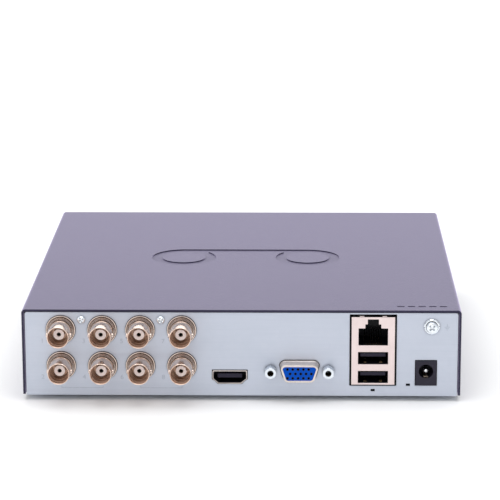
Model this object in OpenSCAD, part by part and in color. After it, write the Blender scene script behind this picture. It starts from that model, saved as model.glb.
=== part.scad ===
// Eight-channel video recorder in a sheet-metal case, with its drive and board inside.
// Millimetres. +Z is up, the front faces -Y and the sockets face +Y. The origin is the middle
// of the outline, on the surface that the feet stand on.

/* [Metal box] */
// Width of the cover across its sides
body_w = 190; // [188:1:200]
// Depth of the case, without the sockets that stand out behind it
body_d = 187; // [186:1:195]
// Height of the case without its feet
body_h = 38.6; // [38.2:0.2:44]
// Thickness of the painted steel cover
cover_t = 1; // [0.8:0.1:1.2]
// Thickness of the zinc-plated tray
tray_t = 0.8; // [0.6:0.1:1]
// Height of the rubber feet
foot_h = 2.4; // [2:0.2:4]
// Radius of the rubber feet
foot_r = 7; // [5:0.5:8]

// Width of the soft edge round the front panel
edge_w = 3.2; // [2:0.2:4]
// How far that edge falls back
edge_drop = 1.4; // [0.8:0.1:1.8]

/* [Cover details] */
// Outside radius of the cover's folded edges
fold_r = 1.6; // [1.4:0.1:2]
// Depth of the pressed pictogram
press_depth = 0.5; // [0.2:0.1:0.6]
// Distance between the two rings of the pictogram
ring_gap = 58; // [50:1:60]
// Outside radius of the rings
ring_r = 15; // [12:0.5:16]
// Width of the pictogram's strokes
stroke = 5; // [3:0.5:6]
// Number of air slots in each side
vent_count = 16; // [8:1:20]
// Distance between air slots
vent_pitch = 6; // [5:0.5:7]
// Width of an air slot
vent_w = 2.6; // [2:0.2:3]
// Length of an air slot
vent_h = 14; // [8:1:18]

/* [Coaxial sockets] */
// How far the sockets stand out behind the panel
bnc_reach = 13.2; // [12:0.2:14]
// Radius of the bayonet barrel
bnc_r = 4.83; // [4.7:0.01:4.9]
// Radius of the mouth
bnc_mouth_r = 4.05; // [4:0.05:4.1]
// Depth of the mouth in front of the insulator
bnc_mouth_depth = 5.2; // [4:0.2:6]
// Distance between the two columns of one block
bnc_column_gap = 18; // [17:0.2:18.4]
// Distance between the two rows
bnc_row_gap = 16.2; // [15.8:0.2:16.6]
// Height of the lower row above the underside of the case
bnc_low_z = 13.3; // [13:0.1:14]

/* [Board and drive] */
// Height of the board's top face above the underside of the case
board_top = 5; // [4.6:0.1:5.4]
// Thickness of the board
board_t = 1.6; // [1.2:0.2:1.6]
// Depth of the board, front to back
board_d = 70; // [66:1:70]
// Length of the drive's head arm from its pivot
arm_l = 46; // [44:1:47]

/* [Hidden] */
$fn = 48;
case_z = foot_h;                          // underside of the case
top_z = case_z + body_h;                  // top of the cover
y_front = -(body_d + bnc_reach - 0.4) / 2;
y_back = y_front + body_d;                // rear edge of the cover
panel_back = y_back - 0.4;                // outside of the rear panel
panel_in = panel_back - tray_t;           // inside of the rear panel
wall_x = body_w / 2 - cover_t;            // inside of the cover's side
tray_x = wall_x - 0.4;                    // outside of the tray's side
tray_top = case_z + body_h - cover_t - 0.3;
floor_z = case_z + tray_t;                // top face of the tray's floor
tray_front = y_front + 6.6;               // front face of the tray's front wall
board_z = case_z + board_top;             // top face of the board
board_back = panel_in - 0.6;
board_front = board_back - board_d;
board_x = 88;                             // half the board's width

bnc_row_z = [case_z + bnc_low_z, case_z + bnc_low_z + bnc_row_gap];
bnc_block_x = [69.15, 34.75];             // middle of each block of four
bnc_mouth_y = panel_back + bnc_reach;
bnc_block_w = 33.8;
bnc_block_d = 15;
bnc_flange_r = 6.35;
block_screw_z = case_z + 34;

video_x = 5;                              // middle of the digital video socket
video_z = case_z + 8.45;
video_w = 15;
video_h = 5.9;
vga_x = -25.2;
vga_z = case_z + 11.5;
vga_w = 16.3;
vga_h = 7.9;
jackscrew_gap = 24.99;
stack_x = -57.05;                         // middle of the network and USB stack
stack_w = 19.4;
stack_top = case_z + 35.6;
stack_d = 21.3;
dc_x = -80;
dc_w = 9;
dc_h = 11;
dc_pin_z = board_z + 6.25;
dc_hole_r = 3.15;
ground_x = -82.3;
ground_z = case_z + 31.3;

tab_y = [y_front + 30, y_back - 35];      // where the cover screws are
tab_w = 12;
tab_screw_x = wall_x - 4.6;

drive_l = 147;                            // the standard 3.5 inch drive lies along X
drive_w = 101.6;
drive_h = 26.1;
platter_r = 47.5;
drive_x = -80;                            // drive's end away from its plugs
drive_y = board_front - 3.6 - drive_w;
drive_z = floor_z + 2.4;
spindle = [drive_x + 50.8, drive_y + drive_w / 2];
pivot = [spindle[0] + 53, spindle[1] - 28];
park_angle = 98.9;                        // direction of the arm's tip when parked, from +X
swing = 37;                               // how far the arm turns, in degrees
hub_shaft_r = 3.5;
pivot_r = 3;
running_gap = 0.05;
drive_holes_x = [drive_x + drive_l - 41.3, drive_x + drive_l - 41.3 - 76.2];
drive_holes_y = [drive_y + 3.2, drive_y + drive_w - 3.2];
drive_wall = 2.6;
drive_floor = 8;                          // top of the cavity's floor above the underside
lid_t = 1.2;

sata_plug = [drive_x + drive_l, drive_y + 40];
power_plug = [drive_x + drive_l, drive_y + 22];
sata_port = [62, board_front + 5];
power_port = [44, board_front + 5];
lead_z = drive_z + 5;

// Leads, as points by hand from the drive's plug, round, and down into the board's socket. Y is
// counted from the board's front edge and Z from the underside of the case.
sata_route = [
    [77, -65.2, 8.2], [80.5, -65.2, 8.2], [83.6, -64.6, 8.5], [86, -62.3, 9], [87, -59, 10],
    [87.3, -53, 12], [87.3, -45, 15], [87.2, -37, 18], [87, -29, 21], [85.6, -21, 24],
    [82, -13, 26.4], [77, -6, 27.6], [71.5, -0.8, 27.6], [66.6, 2.7, 26.4], [63.4, 4.5, 24],
    [62.2, 5, 21], [62, 5, 18]
];
power_route = [
    [77, -83.2, 8.2], [80.2, -83.2, 8.2], [82, -82, 8.4], [83, -79.6, 8.8], [83, -75, 10.4],
    [82.2, -70, 13.2], [81, -65.2, 15.8], [79.8, -58, 18.4], [78.4, -50, 21.2], [76.6, -42, 24],
    [73.6, -33, 26.8], [70, -24, 29.8], [65, -17, 31.8], [59, -10, 32.4], [53.2, -3.2, 31.6],
    [48.2, 1.8, 28.8], [45, 4.4, 25], [44.2, 5, 21.4], [44, 5, 18]
];

// ---- shared shapes ----

// A box with its middle at x and y and its underside at z.
module brick(size, at) {
    translate([at[0] - size[0] / 2, at[1] - size[1] / 2, at[2]]) cube(size);
}

// A box given by its lowest and highest corner.
module box(low, high) {
    translate(low) cube(high - low);
}

// A flat outline in X and Z, as thick as y0 to y1.
module slab(y0, y1) {
    translate([0, y1, 0]) rotate([90, 0, 0]) linear_extrude(height = y1 - y0) children();
}

module rod_y(r, y0, y1, x, z) {
    translate([x, y0, z]) rotate([-90, 0, 0]) cylinder(r = r, h = y1 - y0);
}

module rod_z(r, z0, z1, x, y) {
    translate([x, y, z0]) cylinder(r = r, h = z1 - z0);
}

// Outline with its two upper corners rounded.
module arch(w, z0, z1, r) {
    translate([-w / 2, z0]) square([w, z1 - z0 - r]);
    translate([-w / 2 + r, z0]) square([w - 2 * r, z1 - z0]);
    for (side = [-1, 1]) translate([side * (w / 2 - r), z1 - r]) circle(r = r);
}

// Outline of a slot with round ends, its middle at the origin.
module slot(length, width) {
    square([length - width, width], center = true);
    for (side = [-1, 1]) translate([side * (length - width) / 2, 0]) circle(r = width / 2);
}

// Screw standing on its head: pan head with a cross recess at the bottom, shank upwards.
module pan_screw(head_r, head_h, shank_r, shank_l) {
    difference() {
        union() {
            translate([0, 0, -head_h]) cylinder(r = head_r, h = head_h);
            cylinder(r = shank_r, h = shank_l);
        }
        for (turn = [0, 90])
            translate([0, 0, -head_h]) rotate([0, 0, turn])
                cube([head_r * 1.2, head_r * 0.28, head_h], center = true);
    }
}

// The points of an arc, as a list.
function arc_points(centre, r, from, to, steps) = [
    for (i = [0:steps])
        let (a = from + (to - from) * i / steps)
        centre + r * [cos(a), sin(a)]
];

// D-shaped outline, wider at the top, grown by g all round.
function d_outline(w, h, g) =
    let (r = 2.2, hw = w / 2, hh = h / 2, slant = 1.3)
    concat(
        arc_points([hw - r, hh - r], r + g, 10, 90, 6),
        arc_points([-hw + r, hh - r], r + g, 90, 170, 6),
        arc_points([-hw + r + slant, -hh + r], r + g, 190, 270, 6),
        arc_points([hw - r - slant, -hh + r], r + g, 270, 350, 6)
    );

// Outline of the digital video socket, narrower at the bottom, grown by g all round.
function video_outline(g) =
    let (hw = video_w / 2 + g, top = video_h / 2 + g, bottom = -video_h / 2 - g,
         shoulder = -0.9 - g * 0.6, foot = 5.1 + g * 0.6)
    [[hw, shoulder], [hw, top], [-hw, top], [-hw, shoulder], [-foot - 1.1, shoulder - 0.9],
     [-foot, bottom], [foot, bottom], [foot + 1.1, shoulder - 0.9]];

// ---- case ----

module tab_holes(r, z0, z1) {
    for (side = [-1, 1], y = tab_y) rod_z(r, z0, z1, side * tab_screw_x, y);
}

module pictogram() {
    for (side = [-1, 1])
        difference() {
            translate([side * ring_gap / 2, 0]) circle(r = ring_r);
            translate([side * ring_gap / 2, 0]) circle(r = ring_r - stroke);
        }
    translate([0, -ring_r + stroke / 2]) square([ring_gap, stroke], center = true);
}

module maker_dashes() {
    for (i = [0:4]) translate([i * 4.6, 0]) slot(3.4, 1.8);
}

module air_slots() {
    first = -(vent_count - 1) / 2 * vent_pitch;
    for (i = [0:vent_count - 1])
        translate([-body_w / 2 - 1, y_front + body_d / 2 + first + i * vent_pitch,
                   case_z + body_h / 2])
            rotate([0, 90, 0]) linear_extrude(height = body_w + 2) slot(vent_h, vent_w);
}

module top_cover() {
    low = case_z + 0.4;
    tab_z = floor_z + 0.3;
    color([0.36, 0.34, 0.42]) difference() {
        union() {
            slab(y_front, y_back) difference() {
                arch(body_w, low, top_z, fold_r);
                arch(body_w - 2 * cover_t, low - 1, top_z - cover_t, fold_r - cover_t);
            }
            for (side = [-1, 1], y = tab_y)
                brick([9, tab_w, cover_t], [side * (wall_x - 4), y, tab_z]);
        }
        air_slots();
        tab_holes(1.45, tab_z - 1, tab_z + cover_t + 1);
        translate([0, y_front + body_d / 2, top_z - press_depth])
            linear_extrude(height = 1) pictogram();
        translate([-87.5, y_back - 6.4, top_z - 0.25]) linear_extrude(height = 1) maker_dashes();
    }
}

// Cut-outs of the rear panel, in X and Z.
module panel_openings() {
    for (x = bnc_block_x) {
        for (side = [-1, 1], z = bnc_row_z)
            translate([x + side * bnc_column_gap / 2, z]) circle(r = bnc_flange_r + 0.2);
        translate([x, block_screw_z]) circle(r = 1.3);
    }
    translate([video_x, video_z]) polygon(video_outline(0.3));
    translate([vga_x, vga_z]) polygon(d_outline(vga_w, vga_h, 0.8));
    for (side = [-1, 1]) translate([vga_x + side * jackscrew_gap / 2, vga_z]) circle(r = 1.7);
    translate([stack_x - 10.2, case_z + 4.7])
        square([20.4, tray_top - 0.6 - case_z - 4.7]);
    translate([dc_x - dc_w / 2 - 0.3, board_z - 0.3]) square([dc_w + 0.6, dc_h + 0.6]);
    translate([ground_x, ground_z]) circle(r = 1.5);
    translate([stack_x, case_z + 2.6]) square([1.8, 1.1], center = true);
    translate([-72.3, case_z + 5.1]) square([1.8, 1.1], center = true);
}

module base_tray() {
    top_gap = 0.8;
    color([0.74, 0.78, 0.83]) difference() {
        union() {
            box([-tray_x, tray_front, case_z], [tray_x, panel_back, floor_z]);
            slab(panel_in, panel_back) difference() {
                arch(2 * tray_x, case_z, tray_top, 0.9);
                panel_openings();
            }
            box([-tray_x + 3, panel_in - 5, tray_top - 0.6], [tray_x - 3, panel_in, tray_top]);
            box([-tray_x + 1, tray_front, case_z], [tray_x - 1, tray_front + tray_t, case_z + 30]);
            for (side = [-1, 1]) {
                brick([tray_t, panel_in - tray_front, 9],
                      [side * (tray_x - tray_t / 2), (panel_in + tray_front) / 2, case_z]);
                brick([tray_t, 8, tray_top - case_z - 2],
                      [side * (tray_x - tray_t / 2), panel_in - 4, case_z]);
            }
            for (x = drive_holes_x, y = drive_holes_y) rod_z(4.5, floor_z, drive_z, x, y);
            rod_y(2.9, panel_in - 2.5, panel_in, ground_x, ground_z);
        }
        for (side = [-1, 1], y = tab_y)
            brick([11, tab_w + 1.2, 10], [side * (tray_x - 3.5), y, floor_z]);
        tab_holes(1.75, case_z - 1, floor_z + 1);
        for (x = drive_holes_x, y = drive_holes_y) rod_z(1.95, case_z - 1, drive_z + 1, x, y);
        rod_y(1.5, panel_in - 3, panel_back + 1, ground_x, ground_z);
        for (x = board_hole_x, y = board_hole_y) rod_z(2.1, case_z - 1, floor_z + 1, x, y);
        for (x = [-64:8:64])
            translate([x, tray_front + tray_t / 2, case_z + 16]) rotate([90, 0, 0])
                cylinder(r = 2, h = 3, center = true);
    }
}

// Half of an outline with a soft edge: it turns from the face to the side within edge_w.
function soft_edge(half, face, back) =
    let (r = (edge_w * edge_w + edge_drop * edge_drop) / (2 * edge_drop))
    concat(arc_points([half - edge_w, face + r], r, -90, -90 + asin(edge_w / r), 6),
           [[half, back]]);

// The soft edge on both sides of an outline.
function soft_outline(half, face, back) =
    let (right = soft_edge(half, face, back))
    concat(right, [for (i = [len(right) - 1:-1:0]) [-right[i][0], right[i][1]]]);

module front_panel() {
    low = case_z;
    high = tray_top;
    half_h = (high - low) / 2;
    face = y_front + 0.3;
    inner = face + 2.2;
    side = wall_x - 0.25;
    color([0.16, 0.15, 0.2]) difference() {
        intersection() {
            linear_extrude(height = high + 1) polygon(soft_outline(side, face, tray_front));
            translate([-side - 1, 0, low + half_h]) rotate([90, 0, 90])
                linear_extrude(height = 2 * side + 2)
                    polygon([for (at = soft_outline(half_h, face, tray_front)) [at[1], at[0]]]);
        }
        box([-side + 2, inner, low + 2], [side - 2, tray_front + 1, high - 2]);
    }
    color([0.16, 0.15, 0.2]) for (x = [-60, 0, 60], z = [low + 7, high - 10])
        rod_y(2.5, inner, tray_front, x, z);
}

module rubber_feet() {
    inset = 24;
    color([0.1, 0.1, 0.11])
        for (x = [-wall_x + inset, wall_x - inset], y = [y_front + inset, y_back - inset])
            translate([x, y, 0]) {
                cylinder(r1 = foot_r - 0.6, r2 = foot_r, h = 0.6);
                translate([0, 0, 0.6]) cylinder(r = foot_r, h = foot_h - 0.6);
            }
}

module cover_screws() {
    color([0.62, 0.64, 0.67]) for (side = [-1, 1], y = tab_y)
        translate([side * tab_screw_x, y, case_z]) pan_screw(2.7, 1.5, 1.4, 4.6);
}

// ---- ground terminal ----

module ground_washer() {
    color([0.8, 0.83, 0.85]) difference() {
        rod_y(3.5, panel_back, panel_back + 0.8, ground_x, ground_z);
        rod_y(1.55, panel_back - 1, panel_back + 2, ground_x, ground_z);
    }
}

module ground_screw() {
    color([0.8, 0.83, 0.85]) translate([ground_x, panel_back + 0.82, ground_z])
        rotate([90, 45, 0]) pan_screw(2.45, 1.9, 1.45, 7);
}

// ---- coaxial sockets ----

// Screw that holds each block of sockets to the panel.
module bnc_block_screws() {
    color([0.8, 0.83, 0.85]) for (x = bnc_block_x)
        translate([x, panel_back, block_screw_z]) rotate([90, 0, 0])
            pan_screw(1.75, 1, 1, 6);
}

module bnc_block(x) {
    color([0.08, 0.08, 0.09]) difference() {
        brick([bnc_block_w, bnc_block_d, case_z + 36 - board_z],
              [x, panel_in - bnc_block_d / 2, board_z]);
        rod_y(1.05, panel_in - 6, panel_in + 1, x, block_screw_z);
    }
}

// Socket number 1 to 8 goes down each column in turn, from the outermost column inwards.
function bnc_at(number) =
    let (column = floor((number - 1) / 2), row = (number - 1) % 2)
    [bnc_block_x[floor(column / 2)] + (column % 2 == 0 ? 1 : -1) * bnc_column_gap / 2,
     bnc_row_z[1 - row]];

// Half outline of a socket: radius against distance from the inside of the panel.
function bnc_profile() =
    let (reach = bnc_reach + tray_t, mouth = reach - bnc_mouth_depth)
    [[2.4, 0], [bnc_flange_r, 0], [bnc_flange_r, 1.7], [5.95, 2], [5.95, 2.5], [5.55, 2.5],
     [5.55, 3.3], [5.3, 3.6], [bnc_r, 3.6], [bnc_r, reach - 0.5], [bnc_r - 0.4, reach],
     [bnc_mouth_r + 0.15, reach], [bnc_mouth_r, reach - 0.15], [bnc_mouth_r, mouth],
     [3.75, mouth], [3.75, 4.4], [2.4, 4.4]];

module bnc_shell(number) {
    at = bnc_at(number);
    lug_y = bnc_mouth_y - 4.2;
    color([0.72, 0.6, 0.52]) {
        translate([at[0], panel_in, at[1]]) rotate([-90, 0, 0])
            rotate_extrude() polygon(bnc_profile());
        for (side = [-1, 1])
            translate([at[0] + side * 4.3, lug_y, at[1]]) rotate([0, side * 90, 0])
                cylinder(r = 1, h = 1.2);
    }
}

module bnc_insulators() {
    color([0.93, 0.88, 0.86]) for (number = [1:8]) {
        at = bnc_at(number);
        difference() {
            rod_y(2.35, panel_in, bnc_mouth_y - bnc_mouth_depth, at[0], at[1]);
            rod_y(0.95, panel_in + 1, bnc_mouth_y, at[0], at[1]);
        }
    }
}

module bnc_contacts() {
    color([0.8, 0.62, 0.3]) for (number = [1:8]) {
        at = bnc_at(number);
        difference() {
            rod_y(0.92, panel_in + 1, bnc_mouth_y - bnc_mouth_depth - 0.8, at[0], at[1]);
            rod_y(0.6, panel_in + 3, bnc_mouth_y, at[0], at[1]);
        }
    }
}

// ---- digital video, VGA, network, USB and power sockets ----

module hdmi_shell() {
    y1 = panel_back + 0.6;
    y0 = y1 - 11.5;
    color([0.7, 0.62, 0.57]) translate([video_x, 0, video_z]) {
        difference() {
            slab(y0, y1) polygon(video_outline(0));
            slab(y0 + 0.5, y1 + 1) polygon(video_outline(-0.45));
        }
        for (side = [-1, 1])
            brick([0.5, 3, 2.5], [side * (video_w / 2 - 0.25), y0 + 5, board_z - video_z]);
    }
}

module hdmi_tongue() {
    y1 = panel_back + 0.6;
    color([0.12, 0.12, 0.13]) translate([video_x, 0, video_z])
        box([-5.3, y1 - 11, -0.5], [5.3, y1 - 1.2, 1.3]);
}

module vga_shell() {
    out = panel_back + 5.8;
    color([0.72, 0.66, 0.6]) translate([vga_x, 0, vga_z]) difference() {
        union() {
            slab(panel_in - 0.7, panel_in) difference() {
                square([31, 11.4], center = true);
                for (side = [-1, 1]) translate([side * jackscrew_gap / 2, 0]) circle(r = 1.55);
            }
            slab(panel_in, panel_back + 0.7) polygon(d_outline(vga_w, vga_h, 0.5));
            slab(panel_back + 0.7, out) polygon(d_outline(vga_w, vga_h, 0));
        }
        slab(panel_in - 1, out + 1) polygon(d_outline(vga_w, vga_h, -0.5));
    }
}

module vga_insulator() {
    pin_pitch = 2.29;
    row_pitch = 1.98;
    color([0.05, 0.3, 0.75]) translate([vga_x, 0, vga_z]) difference() {
        slab(panel_in - 0.7, panel_back + 5.5) polygon(d_outline(vga_w, vga_h, -0.55));
        for (row = [-1:1], i = [-2:2])
            rod_y(0.45, panel_back + 1.5, panel_back + 6,
                  i * pin_pitch + (row == 0 ? -pin_pitch / 2 : 0) + pin_pitch / 4,
                  row * row_pitch);
    }
}

module vga_housing() {
    back = panel_in - 0.7;
    color([0.08, 0.08, 0.09]) translate([vga_x, 0, 0]) difference() {
        union() {
            box([-15.5, back - 6, board_z], [15.5, back, vga_z + 5.7]);
            box([-9.5, back - 12, board_z], [9.5, back - 6, vga_z + 3]);
        }
        for (side = [-1, 1])
            rod_y(1.55, back - 5, back + 1, side * jackscrew_gap / 2, vga_z);
    }
}

// Hexagonal posts with a blind threaded hole for the plug's thumbscrews.
module vga_jackscrews() {
    color([0.8, 0.83, 0.85]) for (side = [-1, 1])
        translate([vga_x + side * jackscrew_gap / 2, panel_back, vga_z]) rotate([-90, 0, 0])
            difference() {
                union() {
                    rotate([0, 0, 30]) cylinder(r = 2.75, h = 5.2, $fn = 6);
                    translate([0, 0, -6]) cylinder(r = 1.45, h = 6);
                }
                cylinder(r = 1.2, h = 6);
            }
}

// Stepped outline of the network opening, its middle bottom at the origin.
network_outline = [[-6.35, 0], [6.35, 0], [6.35, 7.6], [3.45, 7.6], [3.45, 9.4], [2.4, 9.4],
                   [2.4, 11.6], [-2.4, 11.6], [-2.4, 9.4], [-3.45, 9.4], [-3.45, 7.6], [-6.35, 7.6]];
network_z = case_z + 22.9;
usb_z = [case_z + 5.9, case_z + 14.4];
usb_w = 13;
usb_h = 5.45;
stack_y1 = panel_back + 0.3;

module stack_openings() {
    translate([stack_x, network_z]) polygon(network_outline);
    for (z = usb_z) translate([stack_x - usb_w / 2, z]) square([usb_w, usb_h]);
}

module lan_usb_shell() {
    wall = 0.4;
    side = stack_w / 2;
    color([0.85, 0.78, 0.75]) difference() {
        box([stack_x - side, stack_y1 - stack_d, board_z], [stack_x + side, stack_y1, stack_top]);
        box([stack_x - side + wall, stack_y1 - stack_d - 1, board_z - 1],
            [stack_x + side - wall, stack_y1 - wall, stack_top - wall]);
        slab(stack_y1 - 1, stack_y1 + 1) stack_openings();
    }
}

module lan_usb_insert() {
    gap = 0.45;
    side = stack_w / 2;
    color([0.07, 0.07, 0.08]) difference() {
        box([stack_x - side + gap, stack_y1 - stack_d, board_z],
            [stack_x + side - gap, stack_y1 - gap, stack_top - gap]);
        slab(stack_y1 - 14.5, stack_y1 + 1) stack_openings();
    }
}

module usb_tongues() {
    color([0.1, 0.1, 0.12]) for (z = usb_z)
        box([stack_x - 5.5, stack_y1 - 14.5, z + usb_h - 2.4],
            [stack_x + 5.5, stack_y1 - 1.6, z + usb_h - 0.9]);
}

module dc_jack_body() {
    y1 = panel_back + 0.5;
    color([0.13, 0.12, 0.16]) difference() {
        box([dc_x - dc_w / 2, y1 - 14, board_z], [dc_x + dc_w / 2, y1, board_z + dc_h]);
        rod_y(dc_hole_r, y1 - 10, y1 + 1, dc_x, dc_pin_z);
    }
}

module dc_jack_pin() {
    y1 = panel_back + 0.5;
    color([0.85, 0.85, 0.83]) rod_y(1, y1 - 10, y1 - 0.8, dc_x, dc_pin_z);
}

module dc_jack_spring() {
    y1 = panel_back + 0.5;
    color([0.8, 0.7, 0.5])
        box([dc_x - 0.9, y1 - 10, dc_pin_z - 2.95], [dc_x + 0.9, y1 - 2, dc_pin_z - 2.6]);
}

// ---- main board ----

board_hole_x = [-83, 13.2, 83];
board_hole_y = [board_front + 6, board_back - 22];

module main_board() {
    color([0.06, 0.32, 0.18]) difference() {
        box([-board_x, board_front, board_z - board_t], [board_x, board_back, board_z]);
        for (side = [-1, 1])
            brick([10, tab_w + 2, 5], [side * board_x, tab_y[1], board_z - 3]);
        for (x = board_hole_x, y = board_hole_y)
            rod_z(1.6, board_z - 3, board_z + 1, x, y);
    }
}

module board_standoffs() {
    color([0.75, 0.77, 0.8]) for (x = board_hole_x, y = board_hole_y) difference() {
        union() {
            rod_z(2.05, case_z, floor_z, x, y);
            rod_z(2.8, floor_z, board_z - board_t, x, y);
        }
        rod_z(1.3, case_z + 0.5, board_z, x, y);
    }
}

module board_screws() {
    color([0.75, 0.77, 0.8]) for (x = board_hole_x, y = board_hole_y)
        translate([x, y, board_z]) rotate([180, 0, 0]) pan_screw(2.6, 1.6, 1.25, 4.2);
}

processor_at = [-8, board_front + 34];

module processor_chip() {
    color([0.12, 0.12, 0.13]) brick([23, 23, 2], [processor_at[0], processor_at[1], board_z]);
}

module heat_sink() {
    size = 30;
    base = 2.4;
    fins = 9;
    pitch = (size - 1.2) / (fins - 1);
    color([0.1, 0.1, 0.11]) translate([0, 0, board_z + 2]) {
        brick([size, size, base], [processor_at[0], processor_at[1], 0]);
        for (i = [0:fins - 1])
            brick([1.2, size, 8], [processor_at[0] - size / 2 + 0.6 + i * pitch,
                                   processor_at[1], base]);
    }
}

module memory_chips() {
    color([0.12, 0.12, 0.13]) for (i = [0:1])
        brick([9, 13.5, 1.1], [processor_at[0] - 24 - i * 13, processor_at[1] + 2, board_z]);
}

module video_decoder_chips() {
    color([0.12, 0.12, 0.13]) for (x = bnc_block_x)
        brick([12, 12, 1.2], [x, board_back - 30, board_z]);
}

module network_transformer() {
    color([0.1, 0.1, 0.11]) brick([16, 7.5, 5.6], [-58.5, board_back - 27, board_z]);
}

module power_inductors() {
    color([0.2, 0.2, 0.22]) for (i = [0:2])
        brick([8, 8, 4.2], [-74 + i * 13, board_front + 17, board_z]);
}

module capacitors() {
    color([0.15, 0.15, 0.3]) for (at = [[-80, 32], [-70, 32], [-60, 32]])
        rod_z(4, board_z, board_z + 12.5, at[0], board_front + at[1]);
}

cell_at = [28, board_front + 18];

module coin_cell_holder() {
    color([0.09, 0.09, 0.1]) difference() {
        rod_z(11.4, board_z, board_z + 4.6, cell_at[0], cell_at[1]);
        rod_z(10.1, board_z + 1.6, board_z + 6, cell_at[0], cell_at[1]);
    }
}

module coin_cell() {
    color([0.82, 0.83, 0.84]) rod_z(10, board_z + 1.6, board_z + 4.8, cell_at[0], cell_at[1]);
}

module buzzer() {
    at = [-36, board_front + 9];
    color([0.08, 0.08, 0.09]) difference() {
        rod_z(6, board_z, board_z + 8.5, at[0], at[1]);
        rod_z(1, board_z + 6, board_z + 9, at[0], at[1]);
    }
}

module sata_socket() {
    color([0.07, 0.07, 0.08]) difference() {
        brick([15, 5, 8], [sata_port[0], sata_port[1], board_z]);
        brick([12, 2.6, 6], [sata_port[0], sata_port[1], board_z + 4]);
    }
}

module drive_power_socket() {
    color([0.92, 0.9, 0.84]) difference() {
        brick([12, 6, 7], [power_port[0], power_port[1], board_z]);
        brick([10.4, 4.6, 6], [power_port[0], power_port[1], board_z + 3]);
    }
}

// ---- hard drive ----

module drive_casting() {
    low = drive_z;
    high = drive_z + drive_h - lid_t;
    well = low + 4;
    color([0.68, 0.69, 0.71]) {
        difference() {
            box([drive_x, drive_y, low], [drive_x + drive_l, drive_y + drive_w, high]);
            rod_z(platter_r + 1.5, low + drive_floor, high + 1, spindle[0], spindle[1]);
            box([spindle[0] + 18, drive_y + drive_wall, low + drive_floor],
                [drive_x + drive_l - 8, drive_y + drive_w - drive_wall, high + 1]);
            brick([100, 62, 5], [drive_x + 70, drive_y + drive_w / 2, low - 2.5]);
            rod_z(11.3, well, high, spindle[0], spindle[1]);
            box([drive_x + drive_l - 7, sata_plug[1] - 27, low - 1],
                [drive_x + drive_l + 1, sata_plug[1] + 12, low + 9]);
            for (x = drive_holes_x, y = drive_holes_y) rod_z(1.8, low - 1, low + 5, x, y);
            for (at = lid_screw_at) rod_z(1.25, high - 6, high + 1, at[0], at[1]);
        }
        rod_z(10.8, low + 0.3, low + 2.6, spindle[0], spindle[1]);
        rod_z(hub_shaft_r, well - 0.5, low + 19.5, spindle[0], spindle[1]);
        rod_z(4.5, low + drive_floor - 0.5, low + 9.2, pivot[0], pivot[1]);
        rod_z(pivot_r, low + drive_floor - 0.5, high - 2, pivot[0], pivot[1]);
    }
}

lid_screw_at = [
    for (x = [4, drive_l - 4], y = [4, drive_w - 4]) [drive_x + x, drive_y + y],
    [drive_x + drive_l - 4, drive_y + drive_w / 2]
];

module drive_lid() {
    top = drive_z + drive_h;
    color([0.75, 0.76, 0.78]) difference() {
        box([drive_x, drive_y, top - lid_t], [drive_x + drive_l, drive_y + drive_w, top]);
        for (at = lid_screw_at) {
            rod_z(2.5, top - 0.9, top + 1, at[0], at[1]);
            rod_z(1.3, top - 2, top + 1, at[0], at[1]);
        }
    }
}

module drive_lid_screws() {
    color([0.6, 0.61, 0.63]) for (at = lid_screw_at)
        translate([at[0], at[1], drive_z + drive_h - 0.9]) rotate([180, 0, 0])
            pan_screw(2.4, 0.85, 1.2, 6);
}

module drive_platters() {
    color([0.86, 0.86, 0.88]) for (z = [13, 18]) difference() {
        rod_z(platter_r, drive_z + z, drive_z + z + 1.3, spindle[0], spindle[1]);
        rod_z(12.5, drive_z, drive_z + 25, spindle[0], spindle[1]);
    }
}

// Motor hub with the ring that spaces the two platters and the clamp on top of them.
module drive_spindle_hub() {
    color([0.6, 0.61, 0.63]) translate([spindle[0], spindle[1], drive_z]) difference() {
        union() {
            rod_z(11, 4.3, 11.8, 0, 0);
            rod_z(15.5, 11.7, 13, 0, 0);
            rod_z(12.4, 12.9, 19.4, 0, 0);
            rod_z(15, 14.3, 18, 0, 0);
            rod_z(14.5, 19.3, 20.8, 0, 0);
        }
        rod_z(hub_shaft_r + running_gap, 0, 19.8, 0, 0);
    }
}

// Head arm: a ring on the pivot post, three tapered fingers and the coil behind.
module drive_head_arm() {
    color([0.82, 0.8, 0.74]) translate([pivot[0], pivot[1], drive_z]) rotate([0, 0, park_angle])
        difference() {
            union() {
                rod_z(7, 9.5, 21.5, 0, 0);
                for (z = [11.2, 15.7, 20.2])
                    translate([0, 0, z]) linear_extrude(height = 0.9)
                        polygon([[0, -6], [arm_l, -1.2], [arm_l, 1.2], [0, 6]]);
                translate([0, 0, 14]) linear_extrude(height = 3)
                    polygon([[0, -5], [0, 5], [-14, 9], [-17, 6], [-17, -6], [-14, -9]]);
            }
            rod_z(pivot_r + running_gap, 0, 30, 0, 0);
        }
}

// Two magnets, one above and one below the path of the coil.
module drive_magnets() {
    spread = 30;
    lid_under = drive_h - lid_t;
    color([0.78, 0.78, 0.76]) translate([pivot[0], pivot[1], drive_z])
        rotate([0, 0, park_angle + 180 + swing / 2])
            for (z = [[drive_floor, 12.8], [18.2, lid_under]])
                translate([0, 0, z[0]]) linear_extrude(height = z[1] - z[0])
                    polygon(concat(arc_points([0, 0], 18.5, -spread, spread, 10),
                                   arc_points([0, 0], 8.5, spread, -spread, 10)));
}

module drive_board() {
    color([0.05, 0.25, 0.2]) difference() {
        brick([96, 58, 1.2], [drive_x + 70, drive_y + drive_w / 2, drive_z + 0.6]);
        rod_z(11.2, drive_z - 1, drive_z + 5, spindle[0], spindle[1]);
    }
}

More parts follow.
